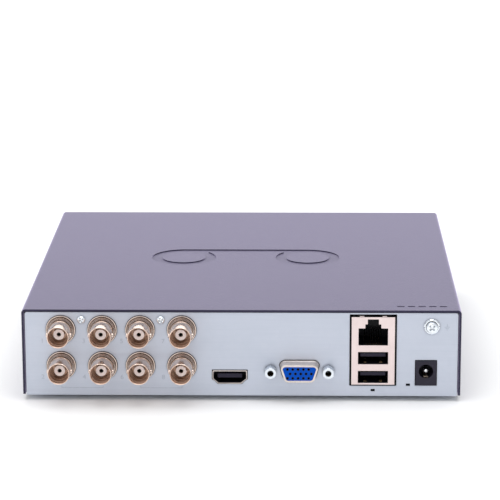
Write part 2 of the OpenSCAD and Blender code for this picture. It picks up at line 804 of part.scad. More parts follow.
// Plastic strip with the data tongue and the power tongue.
module drive_socket() {
    end = drive_x + drive_l;
    color([0.06, 0.06, 0.07]) {
        box([end - 7, sata_plug[1] - 26.8, drive_z + 0.2],
            [end - 5, sata_plug[1] + 11.8, drive_z + 8.8]);
        for (part = [[sata_plug[1], 10.4], [power_plug[1], 14]])
            box([end - 5, part[0] - part[1] / 2, lead_z - 0.6],
                [end - 0.2, part[0] + part[1] / 2, lead_z + 0.6]);
    }
}

module drive_screws() {
    color([0.75, 0.77, 0.8]) for (x = drive_holes_x, y = drive_holes_y)
        translate([x, y, case_z]) pan_screw(3.2, 1.4, 1.75, 7);
}

// ---- leads between the drive and the board ----

function unit(v) = v / norm(v);

// Points on a smooth curve through the route, steps to each stretch.
function smooth(route, steps) =
    let (last = len(route) - 1)
    concat([
        for (i = [0:last - 1], s = [0:steps - 1])
            let (
                a = route[max(i - 1, 0)], b = route[i], c = route[i + 1],
                d = route[min(i + 2, last)], t = s / steps
            )
            0.5 * (2 * b + t * (c - a) + t * t * (2 * a - 5 * b + 4 * c - d)
                   + t * t * t * (3 * b - a - 3 * c + d))
    ], [route[last]]);

// A tube of the given radius along a route, with sides flat faces round it.
module tube(route, r, sides) {
    path = smooth(route, 2);
    last = len(path) - 1;
    rings = [
        for (i = [0:last])
            let (
                way = unit(path[min(i + 1, last)] - path[max(i - 1, 0)]),
                across = unit(cross(way, [0.5, -0.3, -0.8])),
                up = cross(across, way)
            )
            for (k = [0:sides - 1])
                path[i] + r * (cos(360 * k / sides) * across + sin(360 * k / sides) * up)
    ];
    walls = [
        for (i = [0:last - 1], k = [0:sides - 1])
            let (next = (k + 1) % sides)
            each [[i * sides + k, (i + 1) * sides + k, i * sides + next],
                  [i * sides + next, (i + 1) * sides + k, (i + 1) * sides + next]]
    ];
    ends = [[for (k = [0:sides - 1]) k], [for (k = [sides - 1:-1:0]) last * sides + k]];
    polyhedron(points = rings, faces = concat(walls, ends), convexity = 8);
}

module sata_lead() {
    color([0.75, 0.1, 0.08]) translate([0, board_front, case_z]) tube(sata_route, 2.1, 8);
}

module power_lead() {
    color([0.1, 0.1, 0.1]) translate([0, board_front, case_z]) tube(power_route, 1.7, 8);
}

module plug_on_drive(y, w) {
    end = drive_x + drive_l;
    difference() {
        box([end - 4.8, y - w / 2, lead_z - 2.4], [end + 11, y + w / 2, lead_z + 2.4]);
        box([end - 5, y - w / 2 + 1, lead_z - 0.7], [end + 0.2, y + w / 2 - 1, lead_z + 0.7]);
    }
}

module lead_plugs() {
    color([0.07, 0.07, 0.08]) {
        plug_on_drive(sata_plug[1], 13);
        plug_on_drive(power_plug[1], 17);
        brick([11.6, 2.4, 4.2], [sata_port[0], sata_port[1], board_z + 4]);
        brick([13, 5, 7], [sata_port[0], sata_port[1], board_z + 8]);
        brick([10, 4.4, 4.2], [power_port[0], power_port[1], board_z + 3]);
        brick([11.6, 5.6, 7.5], [power_port[0], power_port[1], board_z + 7]);
    }
}

// ---- what is drawn ----

base_tray();
top_cover();
front_panel();
rubber_feet();
cover_screws();
ground_screw();
ground_washer();
bnc_block_screws();
main_board();
board_standoffs();
board_screws();
processor_chip();
heat_sink();
memory_chips();
video_decoder_chips();
network_transformer();
power_inductors();
capacitors();
coin_cell_holder();
coin_cell();
buzzer();
sata_socket();
drive_power_socket();
bnc_block(bnc_block_x[0]);  // bnc_block_outer
bnc_block(bnc_block_x[1]);  // bnc_block_inner
for (number = [1:8])
    bnc_shell(number);
bnc_insulators();
bnc_contacts();
hdmi_shell();
hdmi_tongue();
vga_shell();
vga_insulator();
vga_housing();
vga_jackscrews();
lan_usb_shell();
lan_usb_insert();
usb_tongues();
dc_jack_body();
dc_jack_pin();
dc_jack_spring();
drive_casting();
drive_lid();
drive_platters();
drive_spindle_hub();
drive_head_arm();
drive_magnets();
drive_board();
drive_socket();
drive_lid_screws();
drive_screws();
sata_lead();
power_lead();
lead_plugs();
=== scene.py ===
"""Looks of an eight-channel video recorder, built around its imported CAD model."""
import math
import random

import bmesh
import bpy
from mathutils import Matrix, Vector


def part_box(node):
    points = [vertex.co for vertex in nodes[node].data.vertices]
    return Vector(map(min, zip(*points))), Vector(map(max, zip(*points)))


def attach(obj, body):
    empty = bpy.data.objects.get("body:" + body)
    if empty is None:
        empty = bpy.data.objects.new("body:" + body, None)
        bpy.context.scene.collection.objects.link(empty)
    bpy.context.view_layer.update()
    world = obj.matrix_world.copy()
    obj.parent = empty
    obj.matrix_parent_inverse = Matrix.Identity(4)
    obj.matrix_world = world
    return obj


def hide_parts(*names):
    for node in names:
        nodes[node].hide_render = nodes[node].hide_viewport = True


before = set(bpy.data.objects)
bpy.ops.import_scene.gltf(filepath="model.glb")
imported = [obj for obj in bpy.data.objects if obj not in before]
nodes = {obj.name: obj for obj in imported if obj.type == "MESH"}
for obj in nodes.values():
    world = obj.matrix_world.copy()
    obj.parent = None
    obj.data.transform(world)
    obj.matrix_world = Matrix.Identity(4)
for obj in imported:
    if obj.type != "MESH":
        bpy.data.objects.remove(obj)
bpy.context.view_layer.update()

rng = random.Random(8)

MM = 0.001

# ---- places taken from the frame ----

tray_low, tray_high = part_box("base_tray")
panel_y = tray_high.y
case_z = tray_low.z
board_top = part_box("main_board")[1].z


def middle(node):
    """The middle of a CAD node's box."""
    low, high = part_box(node)
    return (low + high) / 2


def centred(low, high, y):
    """The point midway between two corners in X and Z, at the given Y."""
    return Vector(((low.x + high.x) / 2, y, (low.z + high.z) / 2))


sockets = {number: middle(f"bnc_shell_{number}") for number in range(1, 9)}
vga_middle = middle("vga_shell")
HALF_FLAT = 2.38 * MM  # half a jackscrew's width across its flats
jackscrew_x = (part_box("vga_jackscrews")[1].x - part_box("vga_jackscrews")[0].x) / 2 - HALF_FLAT

# Sizes in millimetres: a jackscrew across its corners, the steps along and between the rows of
# contacts of the monitor socket, and half the digital video shell.
HEXAGON = 5.5
CONTACT_STEP, ROW_STEP = 2.29, 1.98
VIDEO_HALF_W, VIDEO_HALF_H = 7.5, 2.95

# The head arm's pivot, and the direction that the parked arm points in.
ARM_PIVOT = Vector((23.8 * MM, -67.1 * MM))
ARM_PARKED = math.radians(98.9)


# ---- node wiring ----

class Wires:
    """Adds nodes to one tree, and wires or sets their sockets."""

    def __init__(self, tree):
        self.tree = tree

    def feed(self, socket, value):
        if isinstance(value, bpy.types.NodeSocket):
            self.tree.links.new(value, socket)
        else:
            socket.default_value = value

    def add(self, kind, sockets=None, **settings):
        node = self.tree.nodes.new("ShaderNode" + kind)
        for name, value in settings.items():
            setattr(node, name, value)
        for name, value in (sockets or {}).items():
            self.feed(node.inputs[name], value)
        return node

    def place(self):
        """Where a point is on its piece."""
        return self.add("TexCoord").outputs["Object"]

    def math(self, operation, first, second=0.0):
        node = self.add("Math", operation=operation)
        self.feed(node.inputs[0], first)
        self.feed(node.inputs[1], second)
        return node.outputs[0]

    def blend(self, share, first, second):
        """Colour that goes from first to second with share. Each is a socket, or red, green and blue."""
        node = self.add("Mix", data_type="RGBA")
        self.feed(node.inputs[0], share)
        for socket, tone in ((node.inputs[6], first), (node.inputs[7], second)):
            self.feed(socket, (*tone, 1.0) if isinstance(tone, tuple) else tone)
        return node.outputs[2]

    def spread(self, value, low, high, new_low=0.0, new_high=1.0):
        """Value stretched from one range to another, and held inside it."""
        ranges = {"From Min": low, "From Max": high, "To Min": new_low, "To Max": new_high}
        return self.add("MapRange", {"Value": value, **ranges}).outputs["Result"]

    def effect(self, group, **values):
        """What a shared effect gives, with its own values."""
        node = self.add("Group", node_tree=group)
        for name, value in values.items():
            self.feed(node.inputs[name.replace("_", " ")], value)
        return node.outputs[0]

    def worn(self, tone, edge_wear_and_highlight, radius, break_up, share):
        """The tone, with its edges turned to another colour: partly wear, partly painted highlight."""
        edges = self.effect(WORN_EDGES, Radius=radius, Break_up=break_up)
        return self.blend(self.math("MULTIPLY", edges, share), tone, edge_wear_and_highlight)


def shared_effect(name, output, **inputs):
    """Makes the function below it into a shared effect: what comes in, and the one value that goes out."""
    def build(wire_up):
        tree = bpy.data.node_groups.new(name, "ShaderNodeTree")
        for label, value in inputs.items():
            label = label.replace("_", " ")
            socket = tree.interface.new_socket(label, in_out="INPUT", socket_type="NodeSocketFloat")
            socket.default_value = value
        tree.interface.new_socket(output, in_out="OUTPUT", socket_type="NodeSocketFloat")
        wires = Wires(tree)
        into = tree.nodes.new("NodeGroupInput").outputs
        out_of = tree.nodes.new("NodeGroupOutput").inputs
        wires.feed(out_of[output], wire_up(wires, into))
        return tree
    return build


# ---- shared effects ----

@shared_effect("mottle", "Value", Scale=50.0, Contrast=1.0)
def MOTTLE(wires, into):
    """Soft uneven patches, from 0 to 1, on two scales."""
    inputs = {"Vector": wires.place(), "Scale": into["Scale"], "Detail": 5.0, "Roughness": 0.6}
    centred_noise = wires.math("SUBTRACT", wires.add("TexNoise", inputs).outputs[0], 0.5)
    stretched = wires.math("MULTIPLY", centred_noise, into["Contrast"])
    return wires.spread(wires.math("ADD", wires.math("MULTIPLY", stretched, 2.0), 0.5), 0.0, 1.0)


@shared_effect("pebble", "Height", Scale=2500.0)
def PEBBLE(wires, into):
    """Height of a fine pebbled skin, as on powder paint or moulded plastic."""
    place = wires.place()
    cells = wires.add("TexVoronoi", {"Vector": place, "Scale": into["Scale"]}, feature="SMOOTH_F1")
    cells.inputs["Smoothness"].default_value = 0.8
    noise = wires.add("TexNoise", {"Vector": place, "Scale": into["Scale"], "Detail": 3.0})
    return wires.math("ADD", wires.math("MULTIPLY", cells.outputs["Distance"], 0.7), noise.outputs[0])


@shared_effect("streaks", "Value", Scale=900.0, Along_X=1.0, Along_Y=1.0, Along_Z=1.0)
def STREAKS(wires, into):
    """Fine parallel lines left by rolling, drawing or turning, along the chosen axis."""
    shares = {axis: into["Along " + axis] for axis in "XYZ"}
    pulled = wires.add("VectorMath", operation="MULTIPLY")
    wires.feed(pulled.inputs[0], wires.place())
    wires.feed(pulled.inputs[1], wires.add("CombineXYZ", shares).outputs[0])
    noise = wires.add("TexNoise", {"Vector": pulled.outputs[0], "Scale": into["Scale"], "Detail": 2.0})
    return wires.spread(noise.outputs[0], 0.3, 0.7)


@shared_effect("worn and highlit edges", "Mask", Radius=0.0004, Break_up=400.0)
def WORN_EDGES(wires, into):
    """1 along outer and inner edges and 0 on flat stretches, broken up by noise; it marks edges that are
    worn and that carry a painted highlight.
    """
    facing = wires.add("VectorMath", operation="DOT_PRODUCT")
    wires.feed(facing.inputs[0], wires.add("Bevel", {"Radius": into["Radius"]}, samples=4).outputs[0])
    wires.feed(facing.inputs[1], wires.add("NewGeometry").outputs["Normal"])
    edge = wires.spread(facing.outputs["Value"], 0.995, 0.86)
    noise = wires.add("TexNoise", {"Vector": wires.place(), "Scale": into["Break up"], "Detail": 3.0})
    return wires.math("MULTIPLY", edge, wires.spread(noise.outputs[0], 0.38, 0.62))


@shared_effect("dust", "Mask", Amount=0.3, Scale=60.0)
def DUST(wires, into):
    """Thin dust that settles in patches on surfaces that face up."""
    normal = wires.add("NewGeometry").outputs["Normal"]
    up = wires.add("SeparateXYZ", {"Vector": normal}).outputs["Z"]
    noise = wires.add("TexNoise", {"Vector": wires.place(), "Scale": into["Scale"], "Detail": 6.0})
    patchy = wires.spread(noise.outputs[0], 0.35, 0.8)
    level = wires.spread(up, 0.5, 1.0)
    return wires.math("MULTIPLY", wires.math("MULTIPLY", level, patchy), into["Amount"])


@shared_effect("painted crevice shade", "Mask", Reach=0.001)
def CREVICE(wires, into):
    """Mask for painted shade: 1 deep in grooves and corners and 0 on open surfaces; Reach is how far it
    looks.
    """
    open_share = wires.add("AmbientOcclusion", {"Distance": into["Reach"]}, samples=6).outputs["AO"]
    return wires.spread(open_share, 0.92, 0.40)


@shared_effect("spangle", "Value", Scale=350.0)
def SPANGLE(wires, into):
    """The faint crystal flowers of zinc plating: each cell its own value."""
    place = wires.place()
    wander = wires.add("TexNoise", {"Vector": place, "Scale": 900.0, "Detail": 2.0}).outputs["Color"]
    shift = wires.add("VectorMath", operation="MULTIPLY_ADD")
    wires.feed(shift.inputs[0], wander)
    wires.feed(shift.inputs[1], (0.0012, 0.0012, 0.0012))
    wires.feed(shift.inputs[2], place)
    cells = wires.add("TexVoronoi", {"Vector": shift.outputs[0], "Scale": into["Scale"]})
    return wires.add("SeparateColor", {"Color": cells.outputs["Color"]}).outputs[0]


# ---- finishes ----

def blank_finish(name, metallic=0.0, **shader_values):
    """A new material with its shader, whose uniform values are set on its own sockets."""
    material = bpy.data.materials.new(name)
    material.use_nodes = True
    shader = material.node_tree.nodes["Principled BSDF"]
    shader.inputs["Metallic"].default_value = metallic
    for label, value in shader_values.items():
        shader.inputs[label.replace("_", " ")].default_value = value
    return material, Wires(material.node_tree), shader.inputs


def relief(wires, shader, height, depth, strength=0.6):
    """Bump of the given depth in metres, from a height."""
    bump = wires.add("Bump", {"Height": height, "Strength": strength, "Distance": depth})
    wires.feed(shader["Normal"], bump.outputs["Normal"])


def flecked(name, patch, tones, fleck, edge_wear_and_highlight, grain, dust=None, **shader_values):
    """Dark flecked skin of the case: soft patches, fine flecks, paler edges that are partly wear and partly
    painted highlight, and, on top, a little dust.

    patch is the scale and contrast of the patches, and tones the two colours that they run between.
    fleck is the flecks' scale, contrast, share and colour; edge_wear_and_highlight and grain are as in
    mottled.
    """
    material, wires, shader = blank_finish(name, **shader_values)
    patches = wires.effect(MOTTLE, Scale=patch[0], Contrast=patch[1])
    flecks = wires.effect(MOTTLE, Scale=fleck[0], Contrast=fleck[1])
    skin = wires.blend(patches, *tones)
    skin = wires.blend(wires.math("MULTIPLY", flecks, fleck[2]), skin, fleck[3])
    skin = wires.worn(skin, *edge_wear_and_highlight)
    if dust:
        skin = wires.blend(wires.effect(DUST, Amount=dust[0], Scale=dust[1]), skin, (0.45, 0.44, 0.47))
    wires.feed(shader["Base Color"], skin)
    uneven, low, high = (flecks, 0.40, 0.52) if dust else (patches, 0.42, 0.50)
    wires.feed(shader["Roughness"], wires.spread(uneven, 0.0, 1.0, low, high))
    relief(wires, shader, wires.effect(PEBBLE, Scale=grain[0]), *grain[1:])
    return material


def zinc_plate():
    """Bluish zinc-plated sheet: rolled lines, faint crystals, a few duller patches."""
    material, wires, shader = blank_finish("zinc_plate", metallic=0.82)
    crystals = wires.effect(SPANGLE, Scale=420.0)
    patches = wires.effect(MOTTLE, Scale=28.0, Contrast=1.0)
    lines = wires.effect(STREAKS, Scale=1100.0, Along_X=0.03)
    metal = wires.blend(patches, (0.502, 0.540, 0.615), (0.550, 0.583, 0.662))
    metal = wires.blend(wires.math("MULTIPLY", crystals, 0.16), metal, (0.66, 0.68, 0.75))
    # Paler edges: partly wear, partly painted highlight.
    metal = wires.worn(metal, (0.86, 0.88, 0.92), 0.0003, 700.0, 0.4)
    # Painted shade: the plate is darkened round its holes, sockets and bends.
    shade = wires.effect(CREVICE, Reach=0.0012)
    metal = wires.blend(wires.math("MULTIPLY", shade, 0.55), metal, (0.12, 0.13, 0.16))
    wires.feed(shader["Base Color"], metal)
    crystal_rough = wires.spread(crystals, 0.0, 1.0, 0.0, 0.08)
    line_rough = wires.spread(lines, 0.0, 1.0, 0.40, 0.50)
    wires.feed(shader["Roughness"], wires.math("ADD", crystal_rough, line_rough))
    relief(wires, shader, lines, 0.00001, 0.35)
    return material


def turned_metal(name, dark, light, low_rough, high_rough, line_scale=2600.0, reach=0.0008):
    """Plated metal, turned or drawn: fine lines, tarnish in patches, painted shade in grooves, and paler
    edges that are partly wear and partly painted highlight.
    """
    material, wires, shader = blank_finish(name, metallic=1.0)
    patches = wires.effect(MOTTLE, Scale=260.0, Contrast=1.1)
    lines = wires.effect(STREAKS, Scale=line_scale, Along_X=0.06, Along_Z=0.06)
    metal = wires.blend(patches, dark, light)
    # Paler edges: partly wear, partly painted highlight.
    edge_light = tuple(min(1.0, part * 1.25) for part in light)
    metal = wires.worn(metal, edge_light, 0.00018, 1500.0, 0.6)
    # Painted shade: grooves, bores and corners are darkened towards a deep brown.
    crevice_shade_tone = (dark[0] * 0.16, dark[1] * 0.12, dark[2] * 0.10)
    crevice_shade = wires.effect(CREVICE, Reach=reach)
    wires.feed(shader["Base Color"], wires.blend(wires.math("MULTIPLY", crevice_shade, 0.85), metal, crevice_shade_tone))
    rough = wires.spread(wires.math("ADD", patches, lines), 0.2, 1.8, low_rough, high_rough)
    wires.feed(shader["Roughness"], rough)
    relief(wires, shader, lines, 0.000006, 0.4)
    return material


def tinned_sheet():
    """Thin bright tinplate with a warm tint, around the network and USB sockets."""
    material, wires, shader = blank_finish("tinned_sheet", metallic=0.75)
    patches = wires.effect(MOTTLE, Scale=120.0, Contrast=0.9)
    lines = wires.effect(STREAKS, Scale=1800.0, Along_Z=0.04)
    metal = wires.blend(patches, (0.73, 0.605, 0.585), (0.81, 0.69, 0.67))
    # Paler edges: partly wear, partly painted highlight.
    worn = wires.effect(WORN_EDGES, Radius=0.0002, Break_up=900.0)
    metal = wires.blend(worn, metal, (0.94, 0.87, 0.85))
    # Painted shade: the tin is darkened deep inside the openings.
    inside = wires.effect(CREVICE, Reach=0.002)
    wires.feed(shader["Base Color"], wires.blend(inside, metal, (0.10, 0.08, 0.08)))
    wires.feed(shader["Roughness"], wires.spread(lines, 0.0, 1.0, 0.30, 0.42))
    relief(wires, shader, lines, 0.000006, 0.35)
    return material


def mottled(name, dark, light, rough, patch, edge_wear_and_highlight=None, grain=None, metallic=0.0, **shader_values):
    """A finish that is uneven between two tones, with paler edges (partly wear, partly painted highlight)
    and a pebbled grain if they are given.

    rough is its range of roughness, and patch the scale and contrast of the unevenness.
    edge_wear_and_highlight is a colour, radius, break-up and share for the worn edges with their painted
    highlight; grain is a scale, depth and strength.
    """
    material, wires, shader = blank_finish(name, metallic, **shader_values)
    patches = wires.effect(MOTTLE, Scale=patch[0], Contrast=patch[1])
    tone = wires.blend(patches, dark, light)
    wires.feed(shader["Base Color"], wires.worn(tone, *edge_wear_and_highlight) if edge_wear_and_highlight else tone)
    wires.feed(shader["Roughness"], wires.spread(patches, 0.0, 1.0, *rough))
    if grain:
        relief(wires, shader, wires.effect(PEBBLE, Scale=grain[0]), *grain[1:])
    return material


def plastic(name, dark, light, low_rough=0.42, high_rough=0.55, grain=4200.0, gloss=0.5):
    """Moulded plastic: slightly uneven colour, fine grain and paler edges, partly rubbed and partly painted
    highlight.
    """
    pale = tuple(min(1.0, part * 1.5 + 0.02) for part in light)
    return mottled(name, dark, light, (low_rough, high_rough), (240.0, 1.0), (pale, 0.00025, 1200.0, 0.35),
                   (grain, 0.00002, 0.35), Specular_IOR_Level=gloss)


def board_lacquer(name, dark, light):
    """Circuit board: lacquer over woven glass, with a faint weave and glossy patches."""
    material, wires, shader = blank_finish(name, Coat_Weight=0.35, Coat_Roughness=0.12)
    patches = wires.effect(MOTTLE, Scale=70.0, Contrast=0.8)
    across = wires.effect(STREAKS, Scale=1500.0, Along_X=0.05)
    along = wires.effect(STREAKS, Scale=1500.0, Along_Y=0.05)
    weave = wires.math("MULTIPLY", across, along)
    lacquer = wires.blend(wires.math("MULTIPLY", weave, 0.5), dark, light)
    wires.feed(shader["Base Color"], wires.blend(wires.math("MULTIPLY", patches, 0.4), lacquer, light))
    wires.feed(shader["Roughness"], wires.spread(patches, 0.0, 1.0, 0.30, 0.42))
    relief(wires, shader, weave, 0.00001, 0.3)
    return material


FOOT_RUBBER = mottled(
    "foot_rubber", (0.018, 0.018, 0.020), (0.045, 0.045, 0.050), (0.72, 0.90), (350.0, 1.3),
    grain=(1800.0, 0.00006, 0.6), Specular_IOR_Level=0.3)
DISK_MIRROR = mottled(
    "disk_mirror", (0.80, 0.80, 0.82), (0.86, 0.86, 0.88), (0.04, 0.09), (60.0, 0.7), metallic=1.0)
CAST_METAL = mottled(
    "cast_metal", (0.40, 0.41, 0.43), (0.52, 0.53, 0.55), (0.42, 0.60), (160.0, 1.2),
    ((0.72, 0.73, 0.75), 0.0003, 600.0, 0.7), (1500.0, 0.00006, 0.5), 0.9)
NICKEL = turned_metal("socket_nickel", (0.72, 0.56, 0.475), (0.86, 0.725, 0.64), 0.15, 0.26)
# Painted shade: a darker copy of the socket nickel, for the inside of each bore.
SHADED_BORE_NICKEL = turned_metal(
    "shaded_bore_nickel", (0.60, 0.415, 0.315), (0.70, 0.52, 0.415), 0.24, 0.38, 2600.0, 0.0012)
BRIGHT_STEEL = turned_metal("bright_steel", (0.66, 0.715, 0.775), (0.80, 0.84, 0.88), 0.18, 0.30)
SCREW_STEEL = turned_metal(
    "screw_steel", (0.74, 0.80, 0.86), (0.90, 0.93, 0.96), 0.18, 0.30, 2600.0, 0.0004)
DARK_SCREW = turned_metal("dark_screw", (0.34, 0.34, 0.36), (0.46, 0.46, 0.48), 0.28, 0.42)
PIN_STEEL = turned_metal(
    "pin_steel", (0.86, 0.87, 0.88), (0.95, 0.95, 0.95), 0.22, 0.32, 2600.0, 0.0002)
SPRING_METAL = turned_metal(
    "spring_metal", (0.62, 0.50, 0.38), (0.76, 0.64, 0.50), 0.25, 0.38, 2600.0, 0.0002)
# Painted shade: brass dimmed well below bright brass, for the contacts deep in the USB openings.
SHADED_CONTACT_BRASS = turned_metal(
    "shaded_contact_brass", (0.22, 0.155, 0.085), (0.32, 0.235, 0.135), 0.22, 0.36, 2600.0, 0.003)
# Painted shade: brass darkened nearly to black, for the contacts and threads deep in their holes.
DEEP_SHADED_BRASS = turned_metal("deep_shaded_brass", (0.030, 0.022, 0.014), (0.050, 0.038, 0.024), 0.3, 0.45)
# Painted shade: gold flash dimmed well below bright gold, for contacts inside the dark openings.
SHADED_GOLD = turned_metal("shaded_gold_flash", (0.22, 0.155, 0.07), (0.32, 0.23, 0.11), 0.20, 0.30, 2600.0, 0.004)
WARM_RIM = turned_metal("warm_rim", (0.66, 0.58, 0.52), (0.78, 0.71, 0.66), 0.24, 0.38)
LID_STEEL = turned_metal("lid_steel", (0.60, 0.61, 0.63), (0.65, 0.66, 0.68), 0.30, 0.40, 1200.0)
CAN_METAL = turned_metal("can_metal", (0.62, 0.62, 0.64), (0.74, 0.74, 0.76), 0.26, 0.40)
SOLDER = turned_metal("solder", (0.55, 0.56, 0.58), (0.70, 0.71, 0.72), 0.25, 0.45)
COVER_PAINT = flecked(
    "cover_paint", (22.0, 0.22), ((0.009, 0.007, 0.027), (0.014, 0.011, 0.035)),
    (1700.0, 1.2, 0.5, (0.036, 0.031, 0.074)), ((0.20, 0.19, 0.26), 0.0005, 300.0, 0.10),
    (1500.0, 0.00008, 0.7), (0.022, 260.0), Specular_IOR_Level=0.32, Sheen_Weight=1.0,
    Sheen_Roughness=0.36, Sheen_Tint=(0.78, 0.70, 1.0, 1.0))
FRONT_MOULDING = flecked(
    "front_moulding", (30.0, 0.9), ((0.012, 0.009, 0.029), (0.018, 0.014, 0.038)),
    (1300.0, 1.3, 0.4, (0.030, 0.025, 0.062)), ((0.13, 0.125, 0.17), 0.0006, 500.0, 0.12),
    (1700.0, 0.00006, 0.6), Specular_IOR_Level=0.45)
ZINC = zinc_plate()
TINPLATE = tinned_sheet()
BLACK_PLASTIC = plastic("black_moulding", (0.012, 0.012, 0.014), (0.022, 0.021, 0.025))
# Painted shade: black plastic darkened below real black, for the insides of the socket openings.
SHADED_INSERT_PLASTIC = plastic(
    "shaded_socket_insert", (0.002, 0.002, 0.004), (0.005, 0.004, 0.009), 0.4, 0.5, 4200.0, 0.25)
CHIP_RESIN = plastic("chip_resin", (0.014, 0.014, 0.015), (0.026, 0.026, 0.027), 0.5, 0.65)
JACK_PLASTIC = plastic(
    "jack_plastic", (0.010, 0.008, 0.018), (0.017, 0.014, 0.028), 0.4, 0.5, 4200.0, 0.3)
TONGUE_PLASTIC = plastic(
    "tongue_plastic", (0.010, 0.007, 0.020), (0.018, 0.014, 0.034), 0.3, 0.4, 4200.0, 0.25)
BLUE_PLASTIC = plastic("blue_plastic", (0.0, 0.058, 0.39), (0.0, 0.074, 0.47), 0.4, 0.5, 4200.0, 0.06)
WHITE_PLASTIC = plastic("white_plastic", (0.93, 0.83, 0.81), (0.98, 0.90, 0.88), 0.30, 0.42)
CREAM_PLASTIC = plastic("cream_plastic", (0.74, 0.69, 0.58), (0.82, 0.77, 0.66))
FERRITE = plastic("ferrite", (0.055, 0.055, 0.058), (0.085, 0.085, 0.090), 0.6, 0.8, 1800.0)
BLACK_ANODISED = plastic("black_anodised", (0.020, 0.020, 0.022), (0.034, 0.034, 0.037), 0.3, 0.4)
SLEEVE = plastic("can_sleeve", (0.012, 0.013, 0.030), (0.020, 0.021, 0.045), 0.3, 0.4)
RED_SLEEVE = plastic("red_sleeve", (0.42, 0.012, 0.010), (0.55, 0.022, 0.018), 0.35, 0.5)
YELLOW_SLEEVE = plastic("yellow_sleeve", (0.66, 0.46, 0.02), (0.78, 0.56, 0.04), 0.35, 0.5)
PANEL_INK = plastic("panel_ink", (0.33, 0.37, 0.44), (0.40, 0.44, 0.51), 0.5, 0.6)
# Painted shade: near-black for blocks that stand in the gaps and behind the slots, where there is only
# shadow.
GAP_SHADE_BLACK = plastic("gap_shade_black", (0.004, 0.004, 0.005), (0.009, 0.009, 0.011), 0.9, 1.0, 1500.0, 0.1)
TRACK_LACQUER = board_lacquer("track_lacquer", (0.012, 0.130, 0.052), (0.020, 0.170, 0.072))
COPPER = turned_metal("copper_wire", (0.50, 0.20, 0.08), (0.66, 0.30, 0.14), 0.25, 0.38)
LABEL_PAPER = plastic("label_paper", (0.60, 0.60, 0.59), (0.66, 0.66, 0.65), 0.5, 0.6)
LABEL_BAND = plastic("label_band", (0.05, 0.16, 0.22), (0.07, 0.20, 0.27), 0.45, 0.55)
GREEN_BOARD = board_lacquer("green_board", (0.006, 0.070, 0.028), (0.014, 0.115, 0.048))
DRIVE_BOARD = board_lacquer("drive_board", (0.006, 0.045, 0.040), (0.012, 0.075, 0.066))

NODES_BY_FINISH = (
    (ZINC, "base_tray"),
    (COVER_PAINT, "top_cover"),
    (FRONT_MOULDING, "front_panel"),
    (FOOT_RUBBER, "rubber_feet"),
    (BRIGHT_STEEL, "cover_screws ground_screw ground_washer bnc_block_screws board_standoffs board_screws "
                   "vga_jackscrews dc_jack_pin drive_magnets drive_screws"),
    (GREEN_BOARD, "main_board"),
    (CHIP_RESIN, "processor_chip memory_chips video_decoder_chips network_transformer"),
    (BLACK_ANODISED, "heat_sink"),
    (FERRITE, "power_inductors"),
    (SLEEVE, "capacitors"),
    (BLACK_PLASTIC, "coin_cell_holder buzzer sata_socket bnc_block_outer bnc_block_inner vga_housing "
                    "drive_socket power_lead lead_plugs"),
    (CAN_METAL, "coin_cell drive_spindle_hub drive_head_arm"),
    (CREAM_PLASTIC, "drive_power_socket"),
    (WHITE_PLASTIC, "bnc_insulators"),
    (DEEP_SHADED_BRASS, "bnc_contacts"),
    (WARM_RIM, "hdmi_shell vga_shell"),
    (TONGUE_PLASTIC, "hdmi_tongue usb_tongues"),
    (BLUE_PLASTIC, "vga_insulator"),
    (TINPLATE, "lan_usb_shell"),
    (SHADED_INSERT_PLASTIC, "lan_usb_insert"),
    (JACK_PLASTIC, "dc_jack_body"),
    (SPRING_METAL, "dc_jack_spring"),
    (CAST_METAL, "drive_casting"),
    (LID_STEEL, "drive_lid"),
    (DISK_MIRROR, "drive_platters"),
    (DRIVE_BOARD, "drive_board"),
    (DARK_SCREW, "drive_lid_screws"),
    (RED_SLEEVE, "sata_lead"),
    (NICKEL, " ".join(f"bnc_shell_{number}" for number in sockets)),
)

for finish, held_by in NODES_BY_FINISH:
    for node in held_by.split():
        for held in nodes[node].material_slots:
            held.material = finish


# ---- making pieces ----

def stand_for(node):
    """Hides a CAD node, so that a piece can show in its place."""
    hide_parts(node)


def new_piece(name, shape, finish, body="recorder", sharp=32.0, node=None):
    """A piece made from a bmesh, smooth but for its sharp edges, that rides on a CAD body.

    finish is one material, or several that the faces pick from. It stands for node, if one is given.
    """
    bmesh.ops.recalc_face_normals(shape, faces=shape.faces)
    mesh = bpy.data.meshes.new(name)
    shape.to_mesh(mesh)
    shape.free()
    mesh.shade_smooth()
    mesh.set_sharp_from_angle(angle=math.radians(sharp))
    for material in finish if isinstance(finish, tuple) else (finish,):
        mesh.materials.append(material)
    piece = bpy.data.objects.new(name, mesh)
    bpy.context.scene.collection.objects.link(piece)
    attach(piece, body)
    if node:
        stand_for(node)
    return piece


def loft(shape, rings, first_cap=False, last_cap=False, second_from=None):
    """A skin over rings that all have the same number of points.

    From ring second_from on, its faces pick the second material.
    """
    rows = [[shape.verts.new(point) for point in ring] for ring in rings]
    for number, (row, further) in enumerate(zip(rows, rows[1:])):
        for i in range(len(row)):
            j = (i + 1) % len(row)
            face = shape.faces.new((row[i], row[j], further[j], further[i]))
            face.material_index = int(second_from is not None and number >= second_from)
    if first_cap:
        shape.faces.new(rows[0])
    if last_cap:
        shape.faces.new(rows[-1])


def ring_y(at, radius, out, steps=64):
    """Points round the +Y axis through at. radius is a length or a function of the angle."""
    points = []
    for i in range(steps):
        angle = math.tau * i / steps
        reach = radius(angle) if callable(radius) else radius
        points.append(at + Vector((reach * math.cos(angle), out, reach * math.sin(angle))))
    return points


def turned_y(shape, at, profile, steps=64, first_cap=False, last_cap=False, second_from=None):
    """A shape turned round the +Y axis, from pairs of radius and distance out, in millimetres."""
    rings = [ring_y(at, r if callable(r) else r * MM, out * MM, steps) for r, out in profile]
    loft(shape, rings, first_cap, last_cap, second_from)


